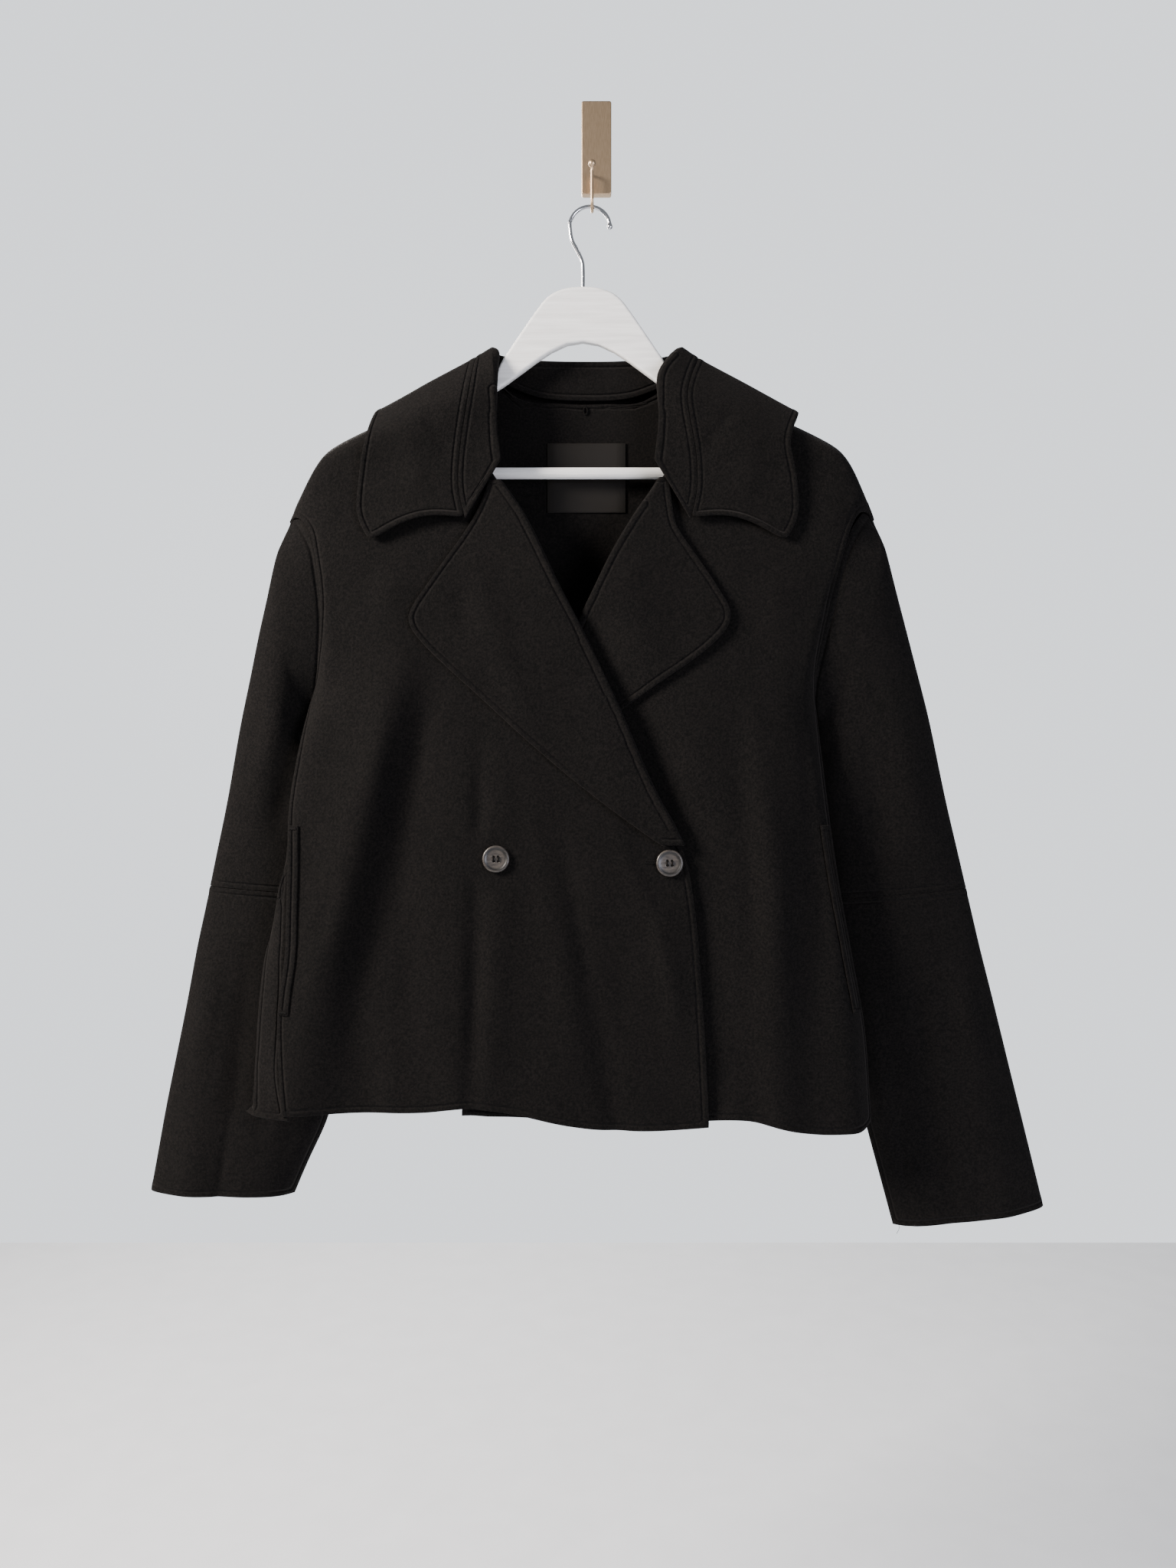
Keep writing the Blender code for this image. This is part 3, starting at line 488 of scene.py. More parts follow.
CREASES: dict[Layer, tuple[Crease, ...]] = {
    Layer.FRONT: FRONT_CREASES, Layer.COLLAR: COLLAR_CREASES, Layer.SLEEVE: SLEEVE_CREASES,
    Layer.BACK: BACK_CREASES}


@dataclass(frozen=True)
class CreaseField:
    """All creases of a layer with the slow unevenness of hanging cloth."""

    layer: Layer
    strength: float = 1.35
    uneven: float = 0.55                                    # slow waves of the cloth
    calm: tuple[Point2, ...] = ((-85, -636), (61, -639.5))  # the cloth lies flat round the buttons
    calm_radius: float = 15.0
    calm_fade: float = 22.0
    still_above: float = -352.0                             # the shoulders lie flat on the hanger
    still_fade: float = 60.0
    sleeve_middle: float = -27.0                            # plane between a sleeve's two faces
    sleeve_half: float = 9.0
    rear_share: float = 0.6                                 # creases are lower on a sleeve's rear face
    side_y: float = -32.0                                   # nearer than this the back moves with the fronts
    side_fade: float = 22.0
    wall_clear: float = -2.0

    def lift(self, x: np.ndarray, z: np.ndarray) -> np.ndarray:
        """Height of the whole field.

        Args:
            x: Places across, in millimetres.
            z: Places up, in millimetres.

        Returns:
            Height above the plain form, in millimetres.
        """
        total = self.strength * sum(crease.lift(x, z) for crease in CREASES[self.layer])
        total = total + self.uneven * (np.sin(x / 19.0 + z / 47.0) * np.sin(z / 31.0 - x / 71.0)
                                       + 0.6 * np.sin(x / 11.0 - z / 83.0))
        if self.layer in (Layer.FRONT, Layer.BACK):
            total = total * ease((self.still_above - z) / self.still_fade)
        if self.layer is Layer.FRONT:
            for place in self.calm:
                gap = np.hypot(x - place[0], z - place[1])
                total = total * ease((gap - self.calm_radius) / self.calm_fade)
        return total

    def move(self, points: np.ndarray) -> np.ndarray:
        """Move a sheet's points, both faces alike, so that its thickness stays.

        Args:
            points: Rows of x, y and z, in millimetres.

        Returns:
            The moved points.
        """
        moved = points.copy()
        lift = self.lift(points[:, 0], points[:, 2])
        if self.layer is Layer.BACK:
            front = CreaseField(Layer.FRONT).lift(points[:, 0], points[:, 2])
            lift = lift + ease((self.side_y - points[:, 1]) / self.side_fade) * (front - lift)
        if self.layer is Layer.SLEEVE:
            side = np.clip((points[:, 1] - self.sleeve_middle) / self.sleeve_half, -1, 1)
            moved[:, 1] += np.where(side > 0, self.rear_share, 1.0) * side * lift
        else:
            moved[:, 1] -= lift
        moved[:, 1] = np.minimum(moved[:, 1], np.maximum(points[:, 1], self.wall_clear))
        return moved


def link(obj: Object) -> Object:
    """Put an object into the scene."""
    bpy.context.scene.collection.objects.link(obj)
    return obj


def applied(obj: Object) -> Object:
    """Turn an object with its modifiers, or a curve, into a plain mesh of the same name.

    Args:
        obj: A mesh or curve object.

    Returns:
        A mesh object that takes its place.
    """
    graph = bpy.context.evaluated_depsgraph_get()
    mesh = bpy.data.meshes.new_from_object(obj.evaluated_get(graph))
    name, old = obj.name, obj.data
    bpy.data.objects.remove(obj)
    if old.users == 0:
        (bpy.data.meshes if isinstance(old, Mesh) else bpy.data.curves).remove(old)
    mesh.name = name
    return link(bpy.data.objects.new(name, mesh))


def corner_points(bm: bmesh.types.BMesh) -> list[bmesh.types.BMVert]:
    """Find the points where the cut edge of a sheet turns a corner.

    Args:
        bm: The sheet.

    Returns:
        The corner points.
    """
    found = []
    for point in bm.verts:
        ways = [e.other_vert(point).co - point.co for e in point.link_edges
                if e.calc_face_angle(0.0) > RIM_ANGLE and e.calc_length() > WALL * MM]
        if len(ways) == 2 and ways[0].angle(-ways[1]) > CORNER_ANGLE:
            found.append(point)
    return found


def smooth_copy(name: str, node: Object, levels: int, crease: float = 1.0,
                corner: Corner = Corner.SHARP) -> Object:
    """Copy a CAD node's form and round its facets; its cut edges stay where they are.

    Args:
        name: Name of the new piece.
        node: The CAD node.
        levels: How often each facet is divided.
        crease: How firmly the cut edges hold, from 0 to 1.
        corner: Whether the corners of the cut edge are kept or rounded.

    Returns:
        A smooth mesh object.
    """
    mesh = bpy.data.meshes.new(name)
    bm = bmesh.new()
    bm.from_mesh(node.data)
    bmesh.ops.remove_doubles(bm, verts=bm.verts[:], dist=SAME_PLACE * MM)
    bmesh.ops.join_triangles(bm, faces=bm.faces[:], angle_face_threshold=JOIN_ANGLES[0],
                             angle_shape_threshold=JOIN_ANGLES[1])
    hold = bm.edges.layers.float.new("crease_edge")
    for edge in bm.edges:
        edge[hold] = crease if edge.calc_face_angle(0.0) > RIM_ANGLE else 0.0
    pinned = bm.verts.layers.float.new("crease_vert")
    bm.verts.index_update()
    fit = np.full((len(bm.verts), 1), FIT_SHARE if crease == 1.0 else 0.0)
    for point in corner_points(bm):
        if corner is Corner.SHARP:
            point[pinned] = crease
            continue
        fit[point.index] = 0.0
        for edge in point.link_edges:
            if edge.calc_length() <= WALL * MM:
                edge[hold] = 0.0
    bm.to_mesh(mesh)
    bm.free()
    obj = link(bpy.data.objects.new(name, mesh))
    divide = obj.modifiers.new("round", "SUBSURF")
    divide.levels = 1
    target = points_of(mesh)
    cage = target.copy()
    for _ in range(FIT_ROUNDS if crease == 1.0 else 0):
        graph = bpy.context.evaluated_depsgraph_get()
        cage += fit * (target - points_of(obj.evaluated_get(graph).data)[:len(target)])
        put_points(mesh, cage)
    divide.levels = divide.render_levels = levels
    bpy.context.view_layer.update()
    return applied(obj)


def points_of(mesh: Mesh) -> np.ndarray:
    """Rows of a mesh's points, in millimetres."""
    flat = np.zeros(len(mesh.vertices) * 3)
    mesh.vertices.foreach_get("co", flat)
    return flat.reshape(-1, 3) / MM


def values_of(mesh: Mesh, name: str) -> np.ndarray:
    """Values of a mesh's point attribute."""
    flat = np.zeros(len(mesh.vertices))
    mesh.attributes[name].data.foreach_get("value", flat)
    return flat


def put_points(mesh: Mesh, points: np.ndarray) -> None:
    """Give a mesh new points, in millimetres."""
    mesh.vertices.foreach_set("co", (points * MM).ravel())
    mesh.update()


def shade(obj: Object, material: Material, body_slot: Slot, *nodes: str) -> None:
    """Give a piece its finish and tie it to the CAD frame.

    Args:
        obj: The piece.
        material: Its finish.
        body_slot: Slot of the record; not used.
        nodes: CAD nodes that it stands for.
    """
    obj.data.materials.clear()
    obj.data.materials.append(material)
    if isinstance(obj.data, Mesh):
        obj.data.shade_smooth()
    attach(obj, ROOT)
    if nodes:
        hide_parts(*nodes)
    log.info("%s: %d faces", obj.name, len(obj.data.polygons))


@dataclass(frozen=True)
class ClothPiece:
    """One cut and sewn piece of cloth."""

    node: str
    layer: Layer
    flat: Point2                 # width and length of the cut, before it was sewn
    area: float                  # area of the cut, in square metres
    rests_on: tuple[str, ...]
    levels: int = 3
    band_lift: float = 0.35      # the felled edge is this much thicker on each face
    band_wide: float = 3.9
    edge_round: float = 0.5
    corner: Corner = Corner.SHARP
    tuck: Point2 = (0.0, 0.0)    # how far a sleeve's head is drawn in across and flattened, under the armhole
    tuck_above: float = -560.0
    tuck_rise: float = 12.0      # how far its top goes up inside the shoulder
    lean: Point3 = (0.0, 0.0, 0.0)   # how far it leans across to its neighbour, round a place in x and z
    lean_reach: Point2 = (60.0, 85.0)
    band_fades: Point2 = (1.2, 2.2)  # breadth over which the felled edge rises and falls
    head_wide: float = 16.0          # breadth of a sleeve's head, and the height over which it begins
    head_fade: float = 30.0
    top: Point2 = (-430.0, 50.0)     # where the head's rise begins, and over what height
    middle: Point2 = (-25.0, 6.0)    # plane to which the head is flattened, and over what depth

    def build(self, node: Object) -> Object:
        """Make the sheet with its creases and felled edges.

        Args:
            node: The CAD node.

        Returns:
            The finished mesh.
        """
        obj = smooth_copy(self.node + "_cloth", node, self.levels, 1.0, self.corner)
        mesh = obj.data
        edge = self.edge_distance(mesh)
        normals = np.zeros(len(mesh.vertices) * 3)
        mesh.vertices.foreach_get("normal", normals)
        points = points_of(mesh)
        band = self.band_lift * ease(edge / self.band_fades[0])
        band = band * (1 - ease((edge - self.band_wide) / self.band_fades[1]))
        points = points + normals.reshape(-1, 3) * band[:, None]
        if self.tuck != (0.0, 0.0):
            head = 1 - ease(edge / self.head_wide)
            head = head * ease((points[:, 2] - self.tuck_above) / self.head_fade)
            points[:, 0] += self.tuck[0] * head
            points[:, 2] += self.tuck_rise * head * ease((points[:, 2] - self.top[0]) / self.top[1])
            side = np.clip((points[:, 1] - self.middle[0]) / self.middle[1], -1, 1)
            points[:, 1] -= side * self.tuck[1] * head
        if self.lean[0]:
            near = ease(1 - np.abs(points[:, 0] - self.lean[1]) / self.lean_reach[0])
            near = near * ease(1 - np.abs(points[:, 2] - self.lean[2]) / self.lean_reach[1])
            points[:, 0] += self.lean[0] * near
        put_points(mesh, CreaseField(self.layer).move(points))
        mesh.attributes.new("edge_mm", "FLOAT", "POINT").data.foreach_set("value", edge)
        soft = obj.modifiers.new("soft_edge", "BEVEL")
        soft.width = self.edge_round * MM
        soft.segments = 2
        soft.limit_method = "ANGLE"
        soft.angle_limit = RIM_ANGLE
        bpy.context.view_layer.update()
        return applied(obj)

    @staticmethod
    def edge_distance(mesh: Mesh) -> np.ndarray:
        """Distance of each point from the sheet's nearest cut edge.

        Args:
            mesh: The sheet.

        Returns:
            Distances in millimetres.
        """
        bm = bmesh.new()
        bm.from_mesh(mesh)
        rim = [v.co.copy() for v in bm.verts
               if any(e.calc_face_angle(0.0) > RIM_ANGLE for e in v.link_edges)]
        tree = KDTree(len(rim))
        for index, place in enumerate(rim):
            tree.insert(place, index)
        tree.balance()
        found = np.array([tree.find(v.co)[2] for v in bm.verts]) / MM
        bm.free()
        return found

    def dress(self, obj: Object, material: Material, slot: Slot) -> None:
        """Finish the piece.

        Args:
            obj: The mesh.
            material: Its finish.
            slot: Slot of the record; not used.
        """
        shade(obj, material, slot, self.node)


CLOTH: tuple[ClothPiece, ...] = (
    ClothPiece("front_right", Layer.FRONT, (0.375, 0.670), 0.172, ("hanger_body",)),
    ClothPiece("front_left", Layer.FRONT, (0.370, 0.675), 0.165, ("hanger_body",)),
    ClothPiece("lapel_right", Layer.FRONT, (0.150, 0.395), 0.0293, ("front_right_cloth",),
               corner=Corner.ROUND),
    ClothPiece("lapel_left", Layer.FRONT, (0.130, 0.320), 0.0213, ("front_left_cloth",),
               corner=Corner.ROUND),
    ClothPiece("collar_stand", Layer.COLLAR, (0.066, 0.445), 0.0242, ("hanger_body",)),
    ClothPiece("collar_fall", Layer.COLLAR, (0.110, 0.560), 0.0530, ("front_right_cloth", "front_left_cloth"),
               corner=Corner.ROUND),
    ClothPiece("back", Layer.BACK, (0.640, 0.665), 0.312, ("hanger_body",), levels=2,
               lean=(6.0, -266.0, -845.0)),
    ClothPiece("sleeve_right_upper", Layer.SLEEVE, (0.330, 0.335), 0.0490, ("front_right_cloth",),
               band_lift=0.0, tuck=(6.0, 1.2), lean=(7.0, -250.0, -545.0)),
    ClothPiece("sleeve_right_lower", Layer.SLEEVE, (0.300, 0.272), 0.0781, ("sleeve_right_upper_cloth",)),
    ClothPiece("sleeve_left_upper", Layer.SLEEVE, (0.340, 0.340), 0.0601, ("front_left_cloth",),
               band_lift=0.0, tuck=(-6.0, 1.2), lean=(-11.0, 205.0, -565.0)),
    ClothPiece("sleeve_left_lower", Layer.SLEEVE, (0.302, 0.290), 0.0824, ("sleeve_left_upper_cloth",)),
    ClothPiece("pocket_edge_right", Layer.FRONT, (0.011, 0.160), 0.00166, ("front_right_cloth",), levels=2),
    ClothPiece("pocket_edge_left", Layer.FRONT, (0.013, 0.160), 0.00198, ("front_left_cloth",), levels=2))
LABEL = ClothPiece("neck_label", Layer.BACK, (0.070, 0.062), 0.00434, ("back_cloth",), band_lift=0.0,
                   edge_round=0.2)


def through(points: Sequence[Sequence[float]], steps: int, closed: bool = False) -> np.ndarray:
    """Run a smooth line through given points.

    Args:
        points: Places that the line passes.
        steps: Points made for each stretch.
        closed: Whether the line ends where it starts.

    Returns:
        Rows of points along the line.
    """
    base = np.array(points, float)
    padded = (np.vstack([base[-1:], base, base[:2]]) if closed
              else np.vstack([2 * base[0] - base[1], base, 2 * base[-1] - base[-2]]))
    t = np.linspace(0, 1, steps, endpoint=False)[:, None]
    rows = [0.5 * (2 * b + (c - a) * t + (2 * a - 5 * b + 4 * c - d) * t ** 2
                   + (3 * b - a - 3 * c + d) * t ** 3)
            for a, b, c, d in zip(padded, padded[1:], padded[2:], padded[3:])]
    return np.vstack(rows if closed else [*rows, base[-1:]])


def tube(name: str, path: np.ndarray, radius: float, swell: np.ndarray | None = None,
         sides: int = 4) -> Object:
    """Make a round wire or thread along a path.

    Args:
        name: Name of the piece.
        path: Rows of points, in millimetres.
        radius: Radius of the wire, in millimetres.
        swell: Radius at each point as a share of that.
        sides: Resolution of the round.

    Returns:
        A mesh object.
    """
    curve = bpy.data.curves.new(name, "CURVE")
    curve.dimensions = "3D"
    curve.bevel_depth = radius * MM
    curve.bevel_resolution = sides
    curve.use_fill_caps = True
    line = curve.splines.new("POLY")
    line.points.add(len(path) - 1)
    for index, place in enumerate(path):
        line.points[index].co = (*(place * MM), 1.0)
        line.points[index].radius = 1.0 if swell is None else float(swell[index])
    obj = link(bpy.data.objects.new(name, curve))
    bpy.context.view_layer.update()
    return applied(obj)


def slab(name: str, outline: np.ndarray, middle_y: float, thick: float, soft: float,
         sides: int = 4) -> Object:
    """Make a flat board with rounded edges, upright in the X and Z plane.

    Args:
        name: Name of the piece.
        outline: Rows of x and z, in millimetres.
        middle_y: Plane of the board's middle.
        thick: Thickness of the board.
        soft: Radius of its edges.
        sides: Resolution of the round.

    Returns:
        A mesh object.
    """
    curve = bpy.data.curves.new(name, "CURVE")
    curve.dimensions = "2D"
    curve.fill_mode = "BOTH"
    curve.extrude = (thick / 2 - soft) * MM
    curve.bevel_depth = soft * MM
    curve.bevel_resolution = sides
    curve.offset = -soft * MM
    line = curve.splines.new("POLY")
    line.points.add(len(outline) - 1)
    for index, place in enumerate(outline):
        line.points[index].co = (place[0] * MM, place[1] * MM, 0.0, 1.0)
    line.use_cyclic_u = True
    obj = applied(link(bpy.data.objects.new(name, curve)))
    points = points_of(obj.data)
    put_points(obj.data, np.column_stack([points[:, 0], middle_y - points[:, 2], points[:, 1]]))
    return obj


@dataclass(frozen=True)
class Hanger:
    """White wooden hanger with a ridged trouser bar and a wire hook."""

    middle_x: float = -12.0
    plane_y: float = -27.0
    thick: float = 8.0
    edge_round: float = 2.4
    half: tuple[Point2, ...] = (
        (0, -134), (-17, -136), (-31, -143), (-44, -159), (-70, -197), (-85, -217), (-147, -249),
        (-187, -266), (-212, -280), (-221, -289), (-223, -299), (-218, -306), (-209, -304), (-208.5, -290),
        (-187, -283),
        (-85, -231), (0, -183))
    bar_radius: float = 4.85
    bar_half: float = 208.0
    bar_place: Point2 = (-24.0, -297.5)
    ridges: int = 22
    ridge_high: float = 0.16
    ridge_points: int = 8
    bar_end: Point2 = (1.2, 0.8)     # length and depth of the chamfer at each end
    wire: float = 1.7
    shank: tuple[Point2, ...] = ((-12, -133.7), (-12, -118), (-13, -109), (-17.5, -99))
    loop_centre: Point2 = (-6.0, -78.8)
    loop_radius: float = 17.8
    loop_turn: tuple[float, float, int] = (188.0, -8.0, 15)  # start and end in degrees, and points
    neck: Point2 = (-22.0, -90.0)
    hook_y: float = -24.0
    head: tuple[float, ...] = (1.0, 1.08, 1.2, 1.34, 1.45, 1.45, 1.36, 1.1, 0.55)  # knob at the wire's end

    def body(self) -> Object:
        """Make the shoulder board."""
        left = [(self.middle_x + x, z) for x, z in self.half]
        right = [(self.middle_x - x, z) for x, z in self.half[-2:0:-1]]
        return slab("hanger_board", through(left + right, 6, True), self.plane_y, self.thick, self.edge_round)

    def bar(self) -> Object:
        """Make the bar with fine lengthwise ridges.

        Returns:
            A mesh object.
        """
        bm = bmesh.new()
        around = self.ridges * self.ridge_points
        rings = []
        (long, deep), half = self.bar_end, self.bar_half
        for shift, shrink in ((-half, deep), (long - half, 0.0), (half - long, 0.0), (half, deep)):
            ring = []
            for step in range(around):
                turn = 2 * math.pi * step / around
                radius = self.bar_radius - shrink + self.ridge_high * math.cos(turn * self.ridges)
                place = (self.middle_x + shift, self.bar_place[0] + radius * math.cos(turn),
                         self.bar_place[1] + radius * math.sin(turn))
                ring.append(bm.verts.new(Vector(place) * MM))
            rings.append(ring)
        for first, second in zip(rings, rings[1:]):
            for step in range(around):
                after = (step + 1) % around
                bm.faces.new((first[step], first[after], second[after], second[step]))
        bm.faces.new(rings[0])
        bm.faces.new(rings[-1])
        bmesh.ops.recalc_face_normals(bm, faces=bm.faces[:])
        mesh = bpy.data.meshes.new("trouser_bar")
        bm.to_mesh(mesh)
        bm.free()
        return link(bpy.data.objects.new("trouser_bar", mesh))

    def hook(self) -> Object:
        """Make the bent wire hook with its headed end.

        Returns:
            A mesh object.
        """
        turns = np.radians(np.linspace(*self.loop_turn))
        loop = [(self.loop_centre[0] + self.loop_radius * math.cos(t),
                 self.loop_centre[1] + self.loop_radius * math.sin(t)) for t in turns]
        line = through([*self.shank, self.neck, *loop[1:]], 6)
        path = np.column_stack([line[:, 0], np.full(len(line), self.hook_y), line[:, 1]])
        swell = np.ones(len(path))
        swell[-len(self.head):] = self.head
        return tube("bent_wire_hook", path, self.wire, swell, sides=5)


@dataclass(frozen=True)
class WallHook:
    """Satin metal plate with a cradle of wire that ends in a ball."""

    size: Point3 = (27.0, 8.0, 84.0)
    corner: float = 2.0
    edge_round: float = 0.9
    wire: float = 1.4
    wire_x: float = -4.0
    way: tuple[Point2, ...] = ((-7.9, -26), (-12, -26), (-15.2, -27.5), (-16, -31), (-16, -42))
    bend_centre: Point2 = (-24.0, -56.6)
    bend_radius: float = 8.0
    rise: tuple[Point2, ...] = ((-32, -45), (-32, -34))
    ball_z: float = -26.7
    ball_radius: float = 3.4
    ball_from: float = 0.91      # the ball begins this share of its radius below its middle

    def plate(self) -> Object:
        """Make the plate with rounded corners.

        Returns:
            A mesh object.
        """
        wide, deep, high = self.size
        corners = []
        for side_x, side_z, start in ((1, 1, 0), (-1, 1, 90), (-1, -1, 180), (1, -1, 270)):
            for turn in np.radians(np.linspace(start, start + 90, 7)):
                corners.append((side_x * (wide / 2 - self.corner) + self.corner * math.cos(turn),
                                side_z * (high / 2 - self.corner) + self.corner * math.sin(turn)))
        return slab("back_plate", np.array(corners), -deep / 2, deep, self.edge_round)

    def cradle(self) -> Object:
        """Make the wire and its ball in one swept piece.

        Returns:
            A mesh object.
        """
        turns = np.radians(np.linspace(0, -180, 13))
        bend = [(self.bend_centre[0] + self.bend_radius * math.cos(t),
                 self.bend_centre[1] + self.bend_radius * math.sin(t)) for t in turns]
        line = through([*self.way, *bend, *self.rise], 5)
        rise = np.linspace(-self.ball_radius * self.ball_from, self.ball_radius, 17)
        ball = np.column_stack([np.full(len(rise), self.rise[-1][0]), self.ball_z + rise])
        line = np.vstack([line, ball])
        swell = np.ones(len(line))
        swell[-len(rise):] = np.sqrt(np.maximum(self.ball_radius ** 2 - rise ** 2, 0.01)) / self.wire
        path = np.column_stack([np.full(len(line), self.wire_x), line])
        return tube("wire_cradle", path, self.wire, swell, sides=6)


@dataclass(frozen=True)
class Sewing:
    """Threads that hold the buttons, bind the buttonhole and close the pocket ends."""

    thread: float = 0.42
    hole_apart: float = 2.2
    tack_long: float = 6.5
    tack_high: float = 2.2
    hole_from: Point2 = (40.0, -638.5)
    hole_long: float = 12.5
    hole_high: float = 2.6
    pitch: float = 0.75
    inner_share: float = 0.25    # every second stitch reaches only this far from the slit
    ride: Point2 = (0.7, 0.8)    # share of its radius by which a tack and a stitch lie above the cloth
    dish: float = 5.5            # radius of the button's hollow
    stitch: Point2 = (1.1, 1.9)  # how deep a button's stitch starts, and how high it arches
    button_share: float = 1.5    # the buttons are sewn on with a thicker thread
    tack_pitch: float = 0.5
    tack_in: float = 2.5         # distance of a tack from the pocket's end
    tack_look: float = 6.0       # part of the pocket's edge that sets the tack's place
    eye_y: float = -400.0        # the cloth is looked at from here
    no_cloth_y: float = -90.0    # where a stitch goes that meets no cloth
    loose: tuple[Point3, ...] = ((264, -33, -955), (265.5, -35, -962), (263, -36, -967))
    loose_radius: float = 0.16

    def surface(self, cloth: Sequence[Object], x: float, z: float) -> float:
        """Where the cloth's face is, seen from the front.

        Args:
            cloth: Sheets to look at.
            x: Place across, in millimetres.
            z: Place up, in millimetres.

        Returns:
            The nearest face's y, in millimetres.
        """
        found = []
        graph = bpy.context.evaluated_depsgraph_get()
        for sheet in cloth:
            eye = Vector((x, self.eye_y, z)) * MM
            hit = BVHTree.FromObject(sheet, graph).ray_cast(eye, Vector((0, 1, 0)))[0]
            if hit is not None:
                found.append(hit.y / MM)
        return min(found) if found else self.no_cloth_y

    def button_thread(self, name: str, button: Object) -> Object:
        """Sew a button on with two stitches side by side.

        Args:
            name: Name of the piece.
            button: The button.

        Returns:
            A mesh object.
        """
        points = points_of(button.data)
        middle = (points.max(0) + points.min(0)) / 2
        axes = np.linalg.svd(points - points.mean(0), full_matrices=False)[2]
        out = axes[2] * (-1 if axes[2][1] > 0 else 1)
        across = np.cross(out, (0.0, 0.0, 1.0))
        across /= np.linalg.norm(across)
        up = np.cross(across, out)
        reach = ((points - middle) @ out)
        inner = reach[np.hypot((points - middle) @ across, (points - middle) @ up) < self.dish].max()
        line = []
        for side in (-1, 1):
            for part in np.linspace(-1, 1, 9):
                high = inner - self.stitch[0] + self.stitch[1] * math.sqrt(max(0.0, 1 - part ** 4))
                line.append(middle + across * self.hole_apart * side + up * self.hole_apart * part * side
                            + out * high)
        return tube(name, np.array(line), self.thread * self.button_share, sides=2)

    def zigzag(self, name: str, cloth: Sequence[Object], start: Point2, step: Point2, count: int,
               swing: Point2) -> Object:
        """Lay a close zigzag of thread on the cloth.

        Args:
            name: Name of the piece.
            cloth: Sheets that it lies on.
            start: First stitch, x and z.
            step: Way from one stitch to the next.
            count: How many stitches.
            swing: Half a stitch, to each side.

        Returns:
            A mesh object.
        """
        line = []
        for stitch in range(count):
            side = 1 if stitch % 2 else -1
            x, z = (start[k] + step[k] * stitch + side * swing[k] for k in (0, 1))
            line.append((x, self.surface(cloth, x, z) - self.thread * self.ride[0], z))
        return tube(name, through(line, 3), self.thread, sides=1)

    def buttonhole(self, cloth: Sequence[Object]) -> Object:
        """Bind the slit's two lips and its end with close stitches.

        Args:
            cloth: Sheets that it lies on.

        Returns:
            A mesh object.
        """
        count = int(self.hole_long / self.pitch)
        x, z = self.hole_from
        line = []
        for lip in (1, -1):
            for stitch in range(count):
                place = x + (stitch if lip < 0 else count - stitch) * self.pitch
                up = z + lip * self.hole_high / 2 * (self.inner_share if stitch % 2 else 1.0)
                line.append((place, self.surface(cloth, place, up) - self.thread * self.ride[1], up))
        return tube("buttonhole_stitches", through(line, 3), self.thread, sides=1)

    def loose_ends(self) -> Object:
        """Make the loose thread end that hangs from the left cuff."""
        return tube("loose_cuff_thread", through(self.loose, 5), self.loose_radius, sides=1)


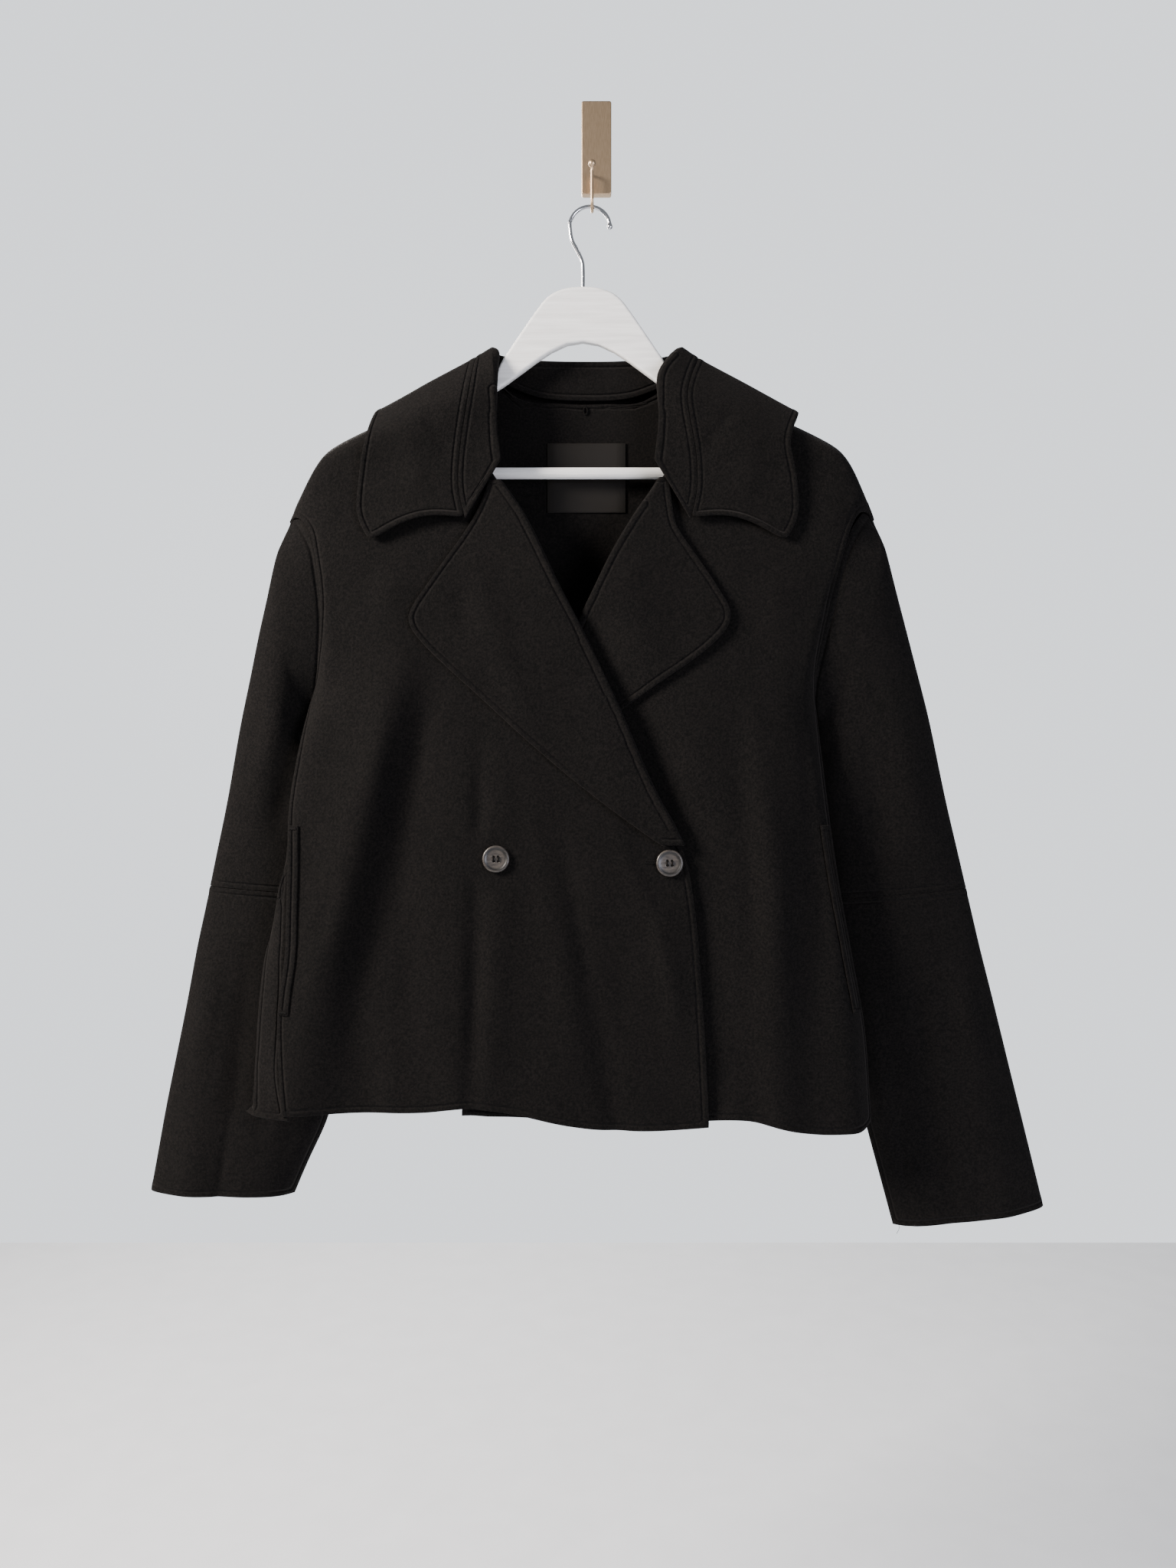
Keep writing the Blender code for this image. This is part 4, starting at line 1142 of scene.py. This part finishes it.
@dataclass(frozen=True)
class Studio:
    """Pale floor and backdrop, soft light from the upper left and front, and the camera of the photograph."""

    floor_z: float = -1550.0
    floor_half: float = 1500.0
    pale: str = "#d3d7dc"
    floor_grain_mm: float = 60.0
    world_strength: float = 0.42
    backdrop_y: float = 2600.0
    backdrop_half: Point2 = (2000.0, 2700.0)
    backdrop_strength: float = 2.1
    eye: Point3 = (-7.6, -1110.0, -572.8)
    lens: float = 28.125
    sensor: float = 36.0
    clip: float = 0.01           # nearest distance that the camera shows, in metres
    target: Point3 = (0.0, -40.0, -520.0)
    lights: tuple[tuple[str, Point3, float, float, str], ...] = (
        ("key_upper_left", (-1650, -850, 350), 600, 140, "#fff5ec"),
        ("fill_right", (1300, -1700, -500), 1000, 36, "#f0f1ff"),
        ("back_soft", (-700, 1700, 500), 900, 60, "#fff6ee"))

    @staticmethod
    def plane(name: str, size: float, material: Material) -> Object:
        """Make a plane of the stage.

        Args:
            name: Name of the plane.
            size: Half its side, in metres.
            material: Its finish.

        Returns:
            The plane.
        """
        bm = bmesh.new()
        bmesh.ops.create_grid(bm, x_segments=2, y_segments=2, size=size)
        mesh = bpy.data.meshes.new(name)
        bm.to_mesh(mesh)
        bm.free()
        mesh.materials.append(material)
        obj = link(bpy.data.objects.new(name, mesh))
        return obj

    def floor(self) -> None:
        """Lay the floor."""
        material, tree, shader = new_material("matt_floor_paint")
        place = add_node(tree, "ShaderNodeTexCoord").outputs["Object"]
        grain = add_node(tree, "ShaderNodeTexNoise",
                         inputs={"Vector": place, "Scale": 1 / (self.floor_grain_mm * MM)})
        dress_shader(tree, shader, grain.outputs["Fac"], ("#d8dbdf", "#dcdfe3", 0.3, 0.7), None,
                     {"Roughness": 0.9})
        self.plane("floor", self.floor_half * MM, material).location.z = self.floor_z * MM

    def backdrop(self) -> None:
        """Hang a pale lit sheet of paper far behind the jacket."""
        material, _, shader = new_material("lit_backdrop_paper")
        shader.inputs["Base Color"].default_value = linear("#000000")
        shader.inputs["Emission Color"].default_value = linear(self.pale)
        shader.inputs["Emission Strength"].default_value = self.backdrop_strength
        obj = self.plane("backdrop", 1.0, material)
        obj.scale = (self.backdrop_half[0] * MM, self.backdrop_half[1] * MM, 1.0)
        obj.rotation_euler.x = math.pi / 2
        obj.location = (0.0, self.backdrop_y * MM, self.eye[2] * MM)

    def light(self, name: str, place: Point3, size: float, power: float, tint: str) -> None:
        """Add a soft light that points at the jacket.

        Args:
            name: Name of the light.
            place: Where it stands, in millimetres.
            size: Side of the square light, in millimetres.
            power: Power in watts.
            tint: Colour of the light.
        """
        lamp = bpy.data.lights.new(name, "AREA")
        lamp.size = size * MM
        lamp.energy = power
        lamp.color = linear(tint)[:3]
        obj = link(bpy.data.objects.new(name, lamp))
        obj.location = Vector(place) * MM
        obj.rotation_euler = (Vector(self.target) * MM - obj.location).to_track_quat("-Z", "Y").to_euler()

    def build(self) -> None:
        """Set up floor, world, lights and camera."""
        self.floor()
        self.backdrop()
        world = bpy.data.worlds.new("pale_studio")
        world.use_nodes = True
        sky = world.node_tree.nodes["Background"]
        sky.inputs["Color"].default_value = linear(self.pale)
        sky.inputs["Strength"].default_value = self.world_strength
        bpy.context.scene.world = world
        for light in self.lights:
            self.light(*light)
        camera = bpy.data.cameras.new("photo_camera")
        camera.sensor_width = self.sensor
        camera.lens = self.lens
        camera.clip_start = self.clip
        obj = link(bpy.data.objects.new("photo_camera", camera))
        obj.location = Vector(self.eye) * MM
        obj.rotation_euler = (math.pi / 2, 0.0, 0.0)
        bpy.context.scene.camera = obj


@dataclass
class Jacket:
    """The whole jacket with its hanger and wall hook."""

    nodes: dict[str, Object]
    seam_x: float = 150.0        # the side seams lie further out than this
    seam_y: float = -28.0        # and nearer than this
    seam_top: float = -480.0     # underarm
    seam_low: float = -880.0     # hem
    seam_step: float = 16.0
    seam_wide: float = 30.0      # breadth of the back that a seam draws along
    seam_rim: float = 1.0        # points this close to a cut edge count as the edge
    seam_fades: Point2 = (12.0, 30.0)    # depth and height over which a seam begins to draw

    def cloth(self) -> dict[str, Object]:
        """Build and dress every cloth piece.

        Returns:
            The sheets by the name of the CAD node that each stands for.
        """
        wool = FeltedWool().material()
        sheets = {}
        for piece in CLOTH:
            sheets[piece.node] = piece.build(self.nodes[piece.node])
        self.sew_sides(sheets)
        for piece in CLOTH:
            piece.dress(sheets[piece.node], wool, Slot.WOOL)
        label = LABEL.build(self.nodes[LABEL.node])
        LABEL.dress(label, SATIN_TAPE.material(), Slot.LABEL)
        loop = smooth_copy("neck_loop_tape", self.nodes["neck_loop"], levels=2, crease=0.6)
        shade(loop, wool, Slot.WOOL, "neck_loop")
        return sheets

    def sew_sides(self, sheets: dict[str, Object]) -> None:
        """Draw the back's side edges to the fronts, as the side seams hold them.

        Args:
            sheets: The cloth pieces.
        """
        back = sheets["back"].data
        points, edge = points_of(back), values_of(back, "edge_mm")
        tree = BVHTree.FromPolygons(points.tolist(), [tuple(face.vertices) for face in back.polygons])
        near = (1 - ease(edge / self.seam_wide)) * ease((self.seam_y - points[:, 1]) / self.seam_fades[0])
        near = near * ease((self.seam_top - points[:, 2]) / self.seam_fades[1])
        for side, front in ((-1, "front_right"), (1, "front_left")):
            mesh = sheets[front].data
            rim = points_of(mesh)[values_of(mesh, "edge_mm") < self.seam_rim]
            rim = rim[rim[:, 0] * side > self.seam_x]
            rows = []
            for z in np.arange(self.seam_low, self.seam_top, self.seam_step):
                level = rim[np.abs(rim[:, 2] - z) < self.seam_step / 2]
                found = [(tree.find_nearest(place), place) for place in level]
                if found:
                    (seat, _, _, _), place = min(found, key=lambda pair: pair[0][3])
                    rows.append((z, *(place - np.array(seat))))
            table = np.array(rows)
            share = near * (points[:, 0] * side > self.seam_x)
            for axis in range(3):
                points[:, axis] += share * np.interp(points[:, 2], table[:, 0], table[:, axis + 1])
        put_points(back, points)

    def trims(self, sheets: dict[str, Object]) -> None:
        """Add buttons and sewing.

        Args:
            sheets: The cloth pieces.
        """
        horn, thread, sewing = PolishedHorn().material(), SPUN_THREAD.material(), Sewing()
        for side in ("right", "left"):
            button = smooth_copy(f"coat_button_{side}", self.nodes[f"button_{side}"], levels=2, crease=0.55)
            places = points_of(button.data)
            middle = (places.min(axis=0) + places.max(axis=0)) / 2
            radius = np.hypot(places[:, 0] - middle[0], places[:, 2] - middle[2])
            button.data.attributes.new("radius_mm", "FLOAT", "POINT").data.foreach_set("value", radius)
            shade(button, horn, Slot.HORN, f"button_{side}")
            shade(sewing.button_thread(f"button_thread_{side}", button), thread, Slot.WOOL)
            pocket = [sheets[f"front_{side}"], sheets[f"pocket_edge_{side}"], sheets["back"]]
            lo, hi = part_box(f"pocket_edge_{side}")
            points = points_of(sheets[f"pocket_edge_{side}"].data)
            for end, z in (("top", hi.z / MM - sewing.tack_in), ("low", lo.z / MM + sewing.tack_in)):
                near = points[np.abs(points[:, 2] - z) < sewing.tack_look]
                x = near[:, 0].mean() - sewing.tack_long / 2
                tack = sewing.zigzag(f"bar_tack_{side}_{end}", pocket, (x, z), (sewing.tack_pitch, 0.0),
                                     int(sewing.tack_long / sewing.tack_pitch), (0.0, sewing.tack_high / 2))
                shade(tack, thread, Slot.WOOL)
        shade(sewing.buttonhole([sheets["front_right"], sheets["lapel_right"]]), thread, Slot.WOOL)
        shade(sewing.loose_ends(), thread, Slot.WOOL)

    def holders(self) -> None:
        """Add the hanger and the wall hook."""
        hanger, hook = Hanger(), WallHook()
        paint, metal = PAINT.material(), SATIN_METAL.material()
        shade(hanger.body(), paint, Slot.PAINT, "hanger_body")
        shade(hanger.bar(), paint, Slot.PAINT, "hanger_bar")
        shade(hanger.hook(), CHROME.material(), Slot.CHROME, "hanger_hook")
        shade(hook.plate(), metal, Slot.SATIN_METAL, "wall_plate")
        shade(hook.cradle(), metal, Slot.SATIN_METAL, "wall_hook", "wall_hook_ball")

    def build(self) -> None:
        """Build everything."""
        self.trims(self.cloth())
        self.holders()


def main() -> None:
    """Load the CAD frame, dress it and light it."""
    logging.basicConfig(level=logging.INFO, format="%(name)s %(message)s")
    for obj in list(bpy.data.objects):
        bpy.data.objects.remove(obj)
    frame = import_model()
    Jacket(frame["nodes"]).build()
    Studio().build()
    bpy.context.view_layer.update()


if __name__ == "__main__":
    main()
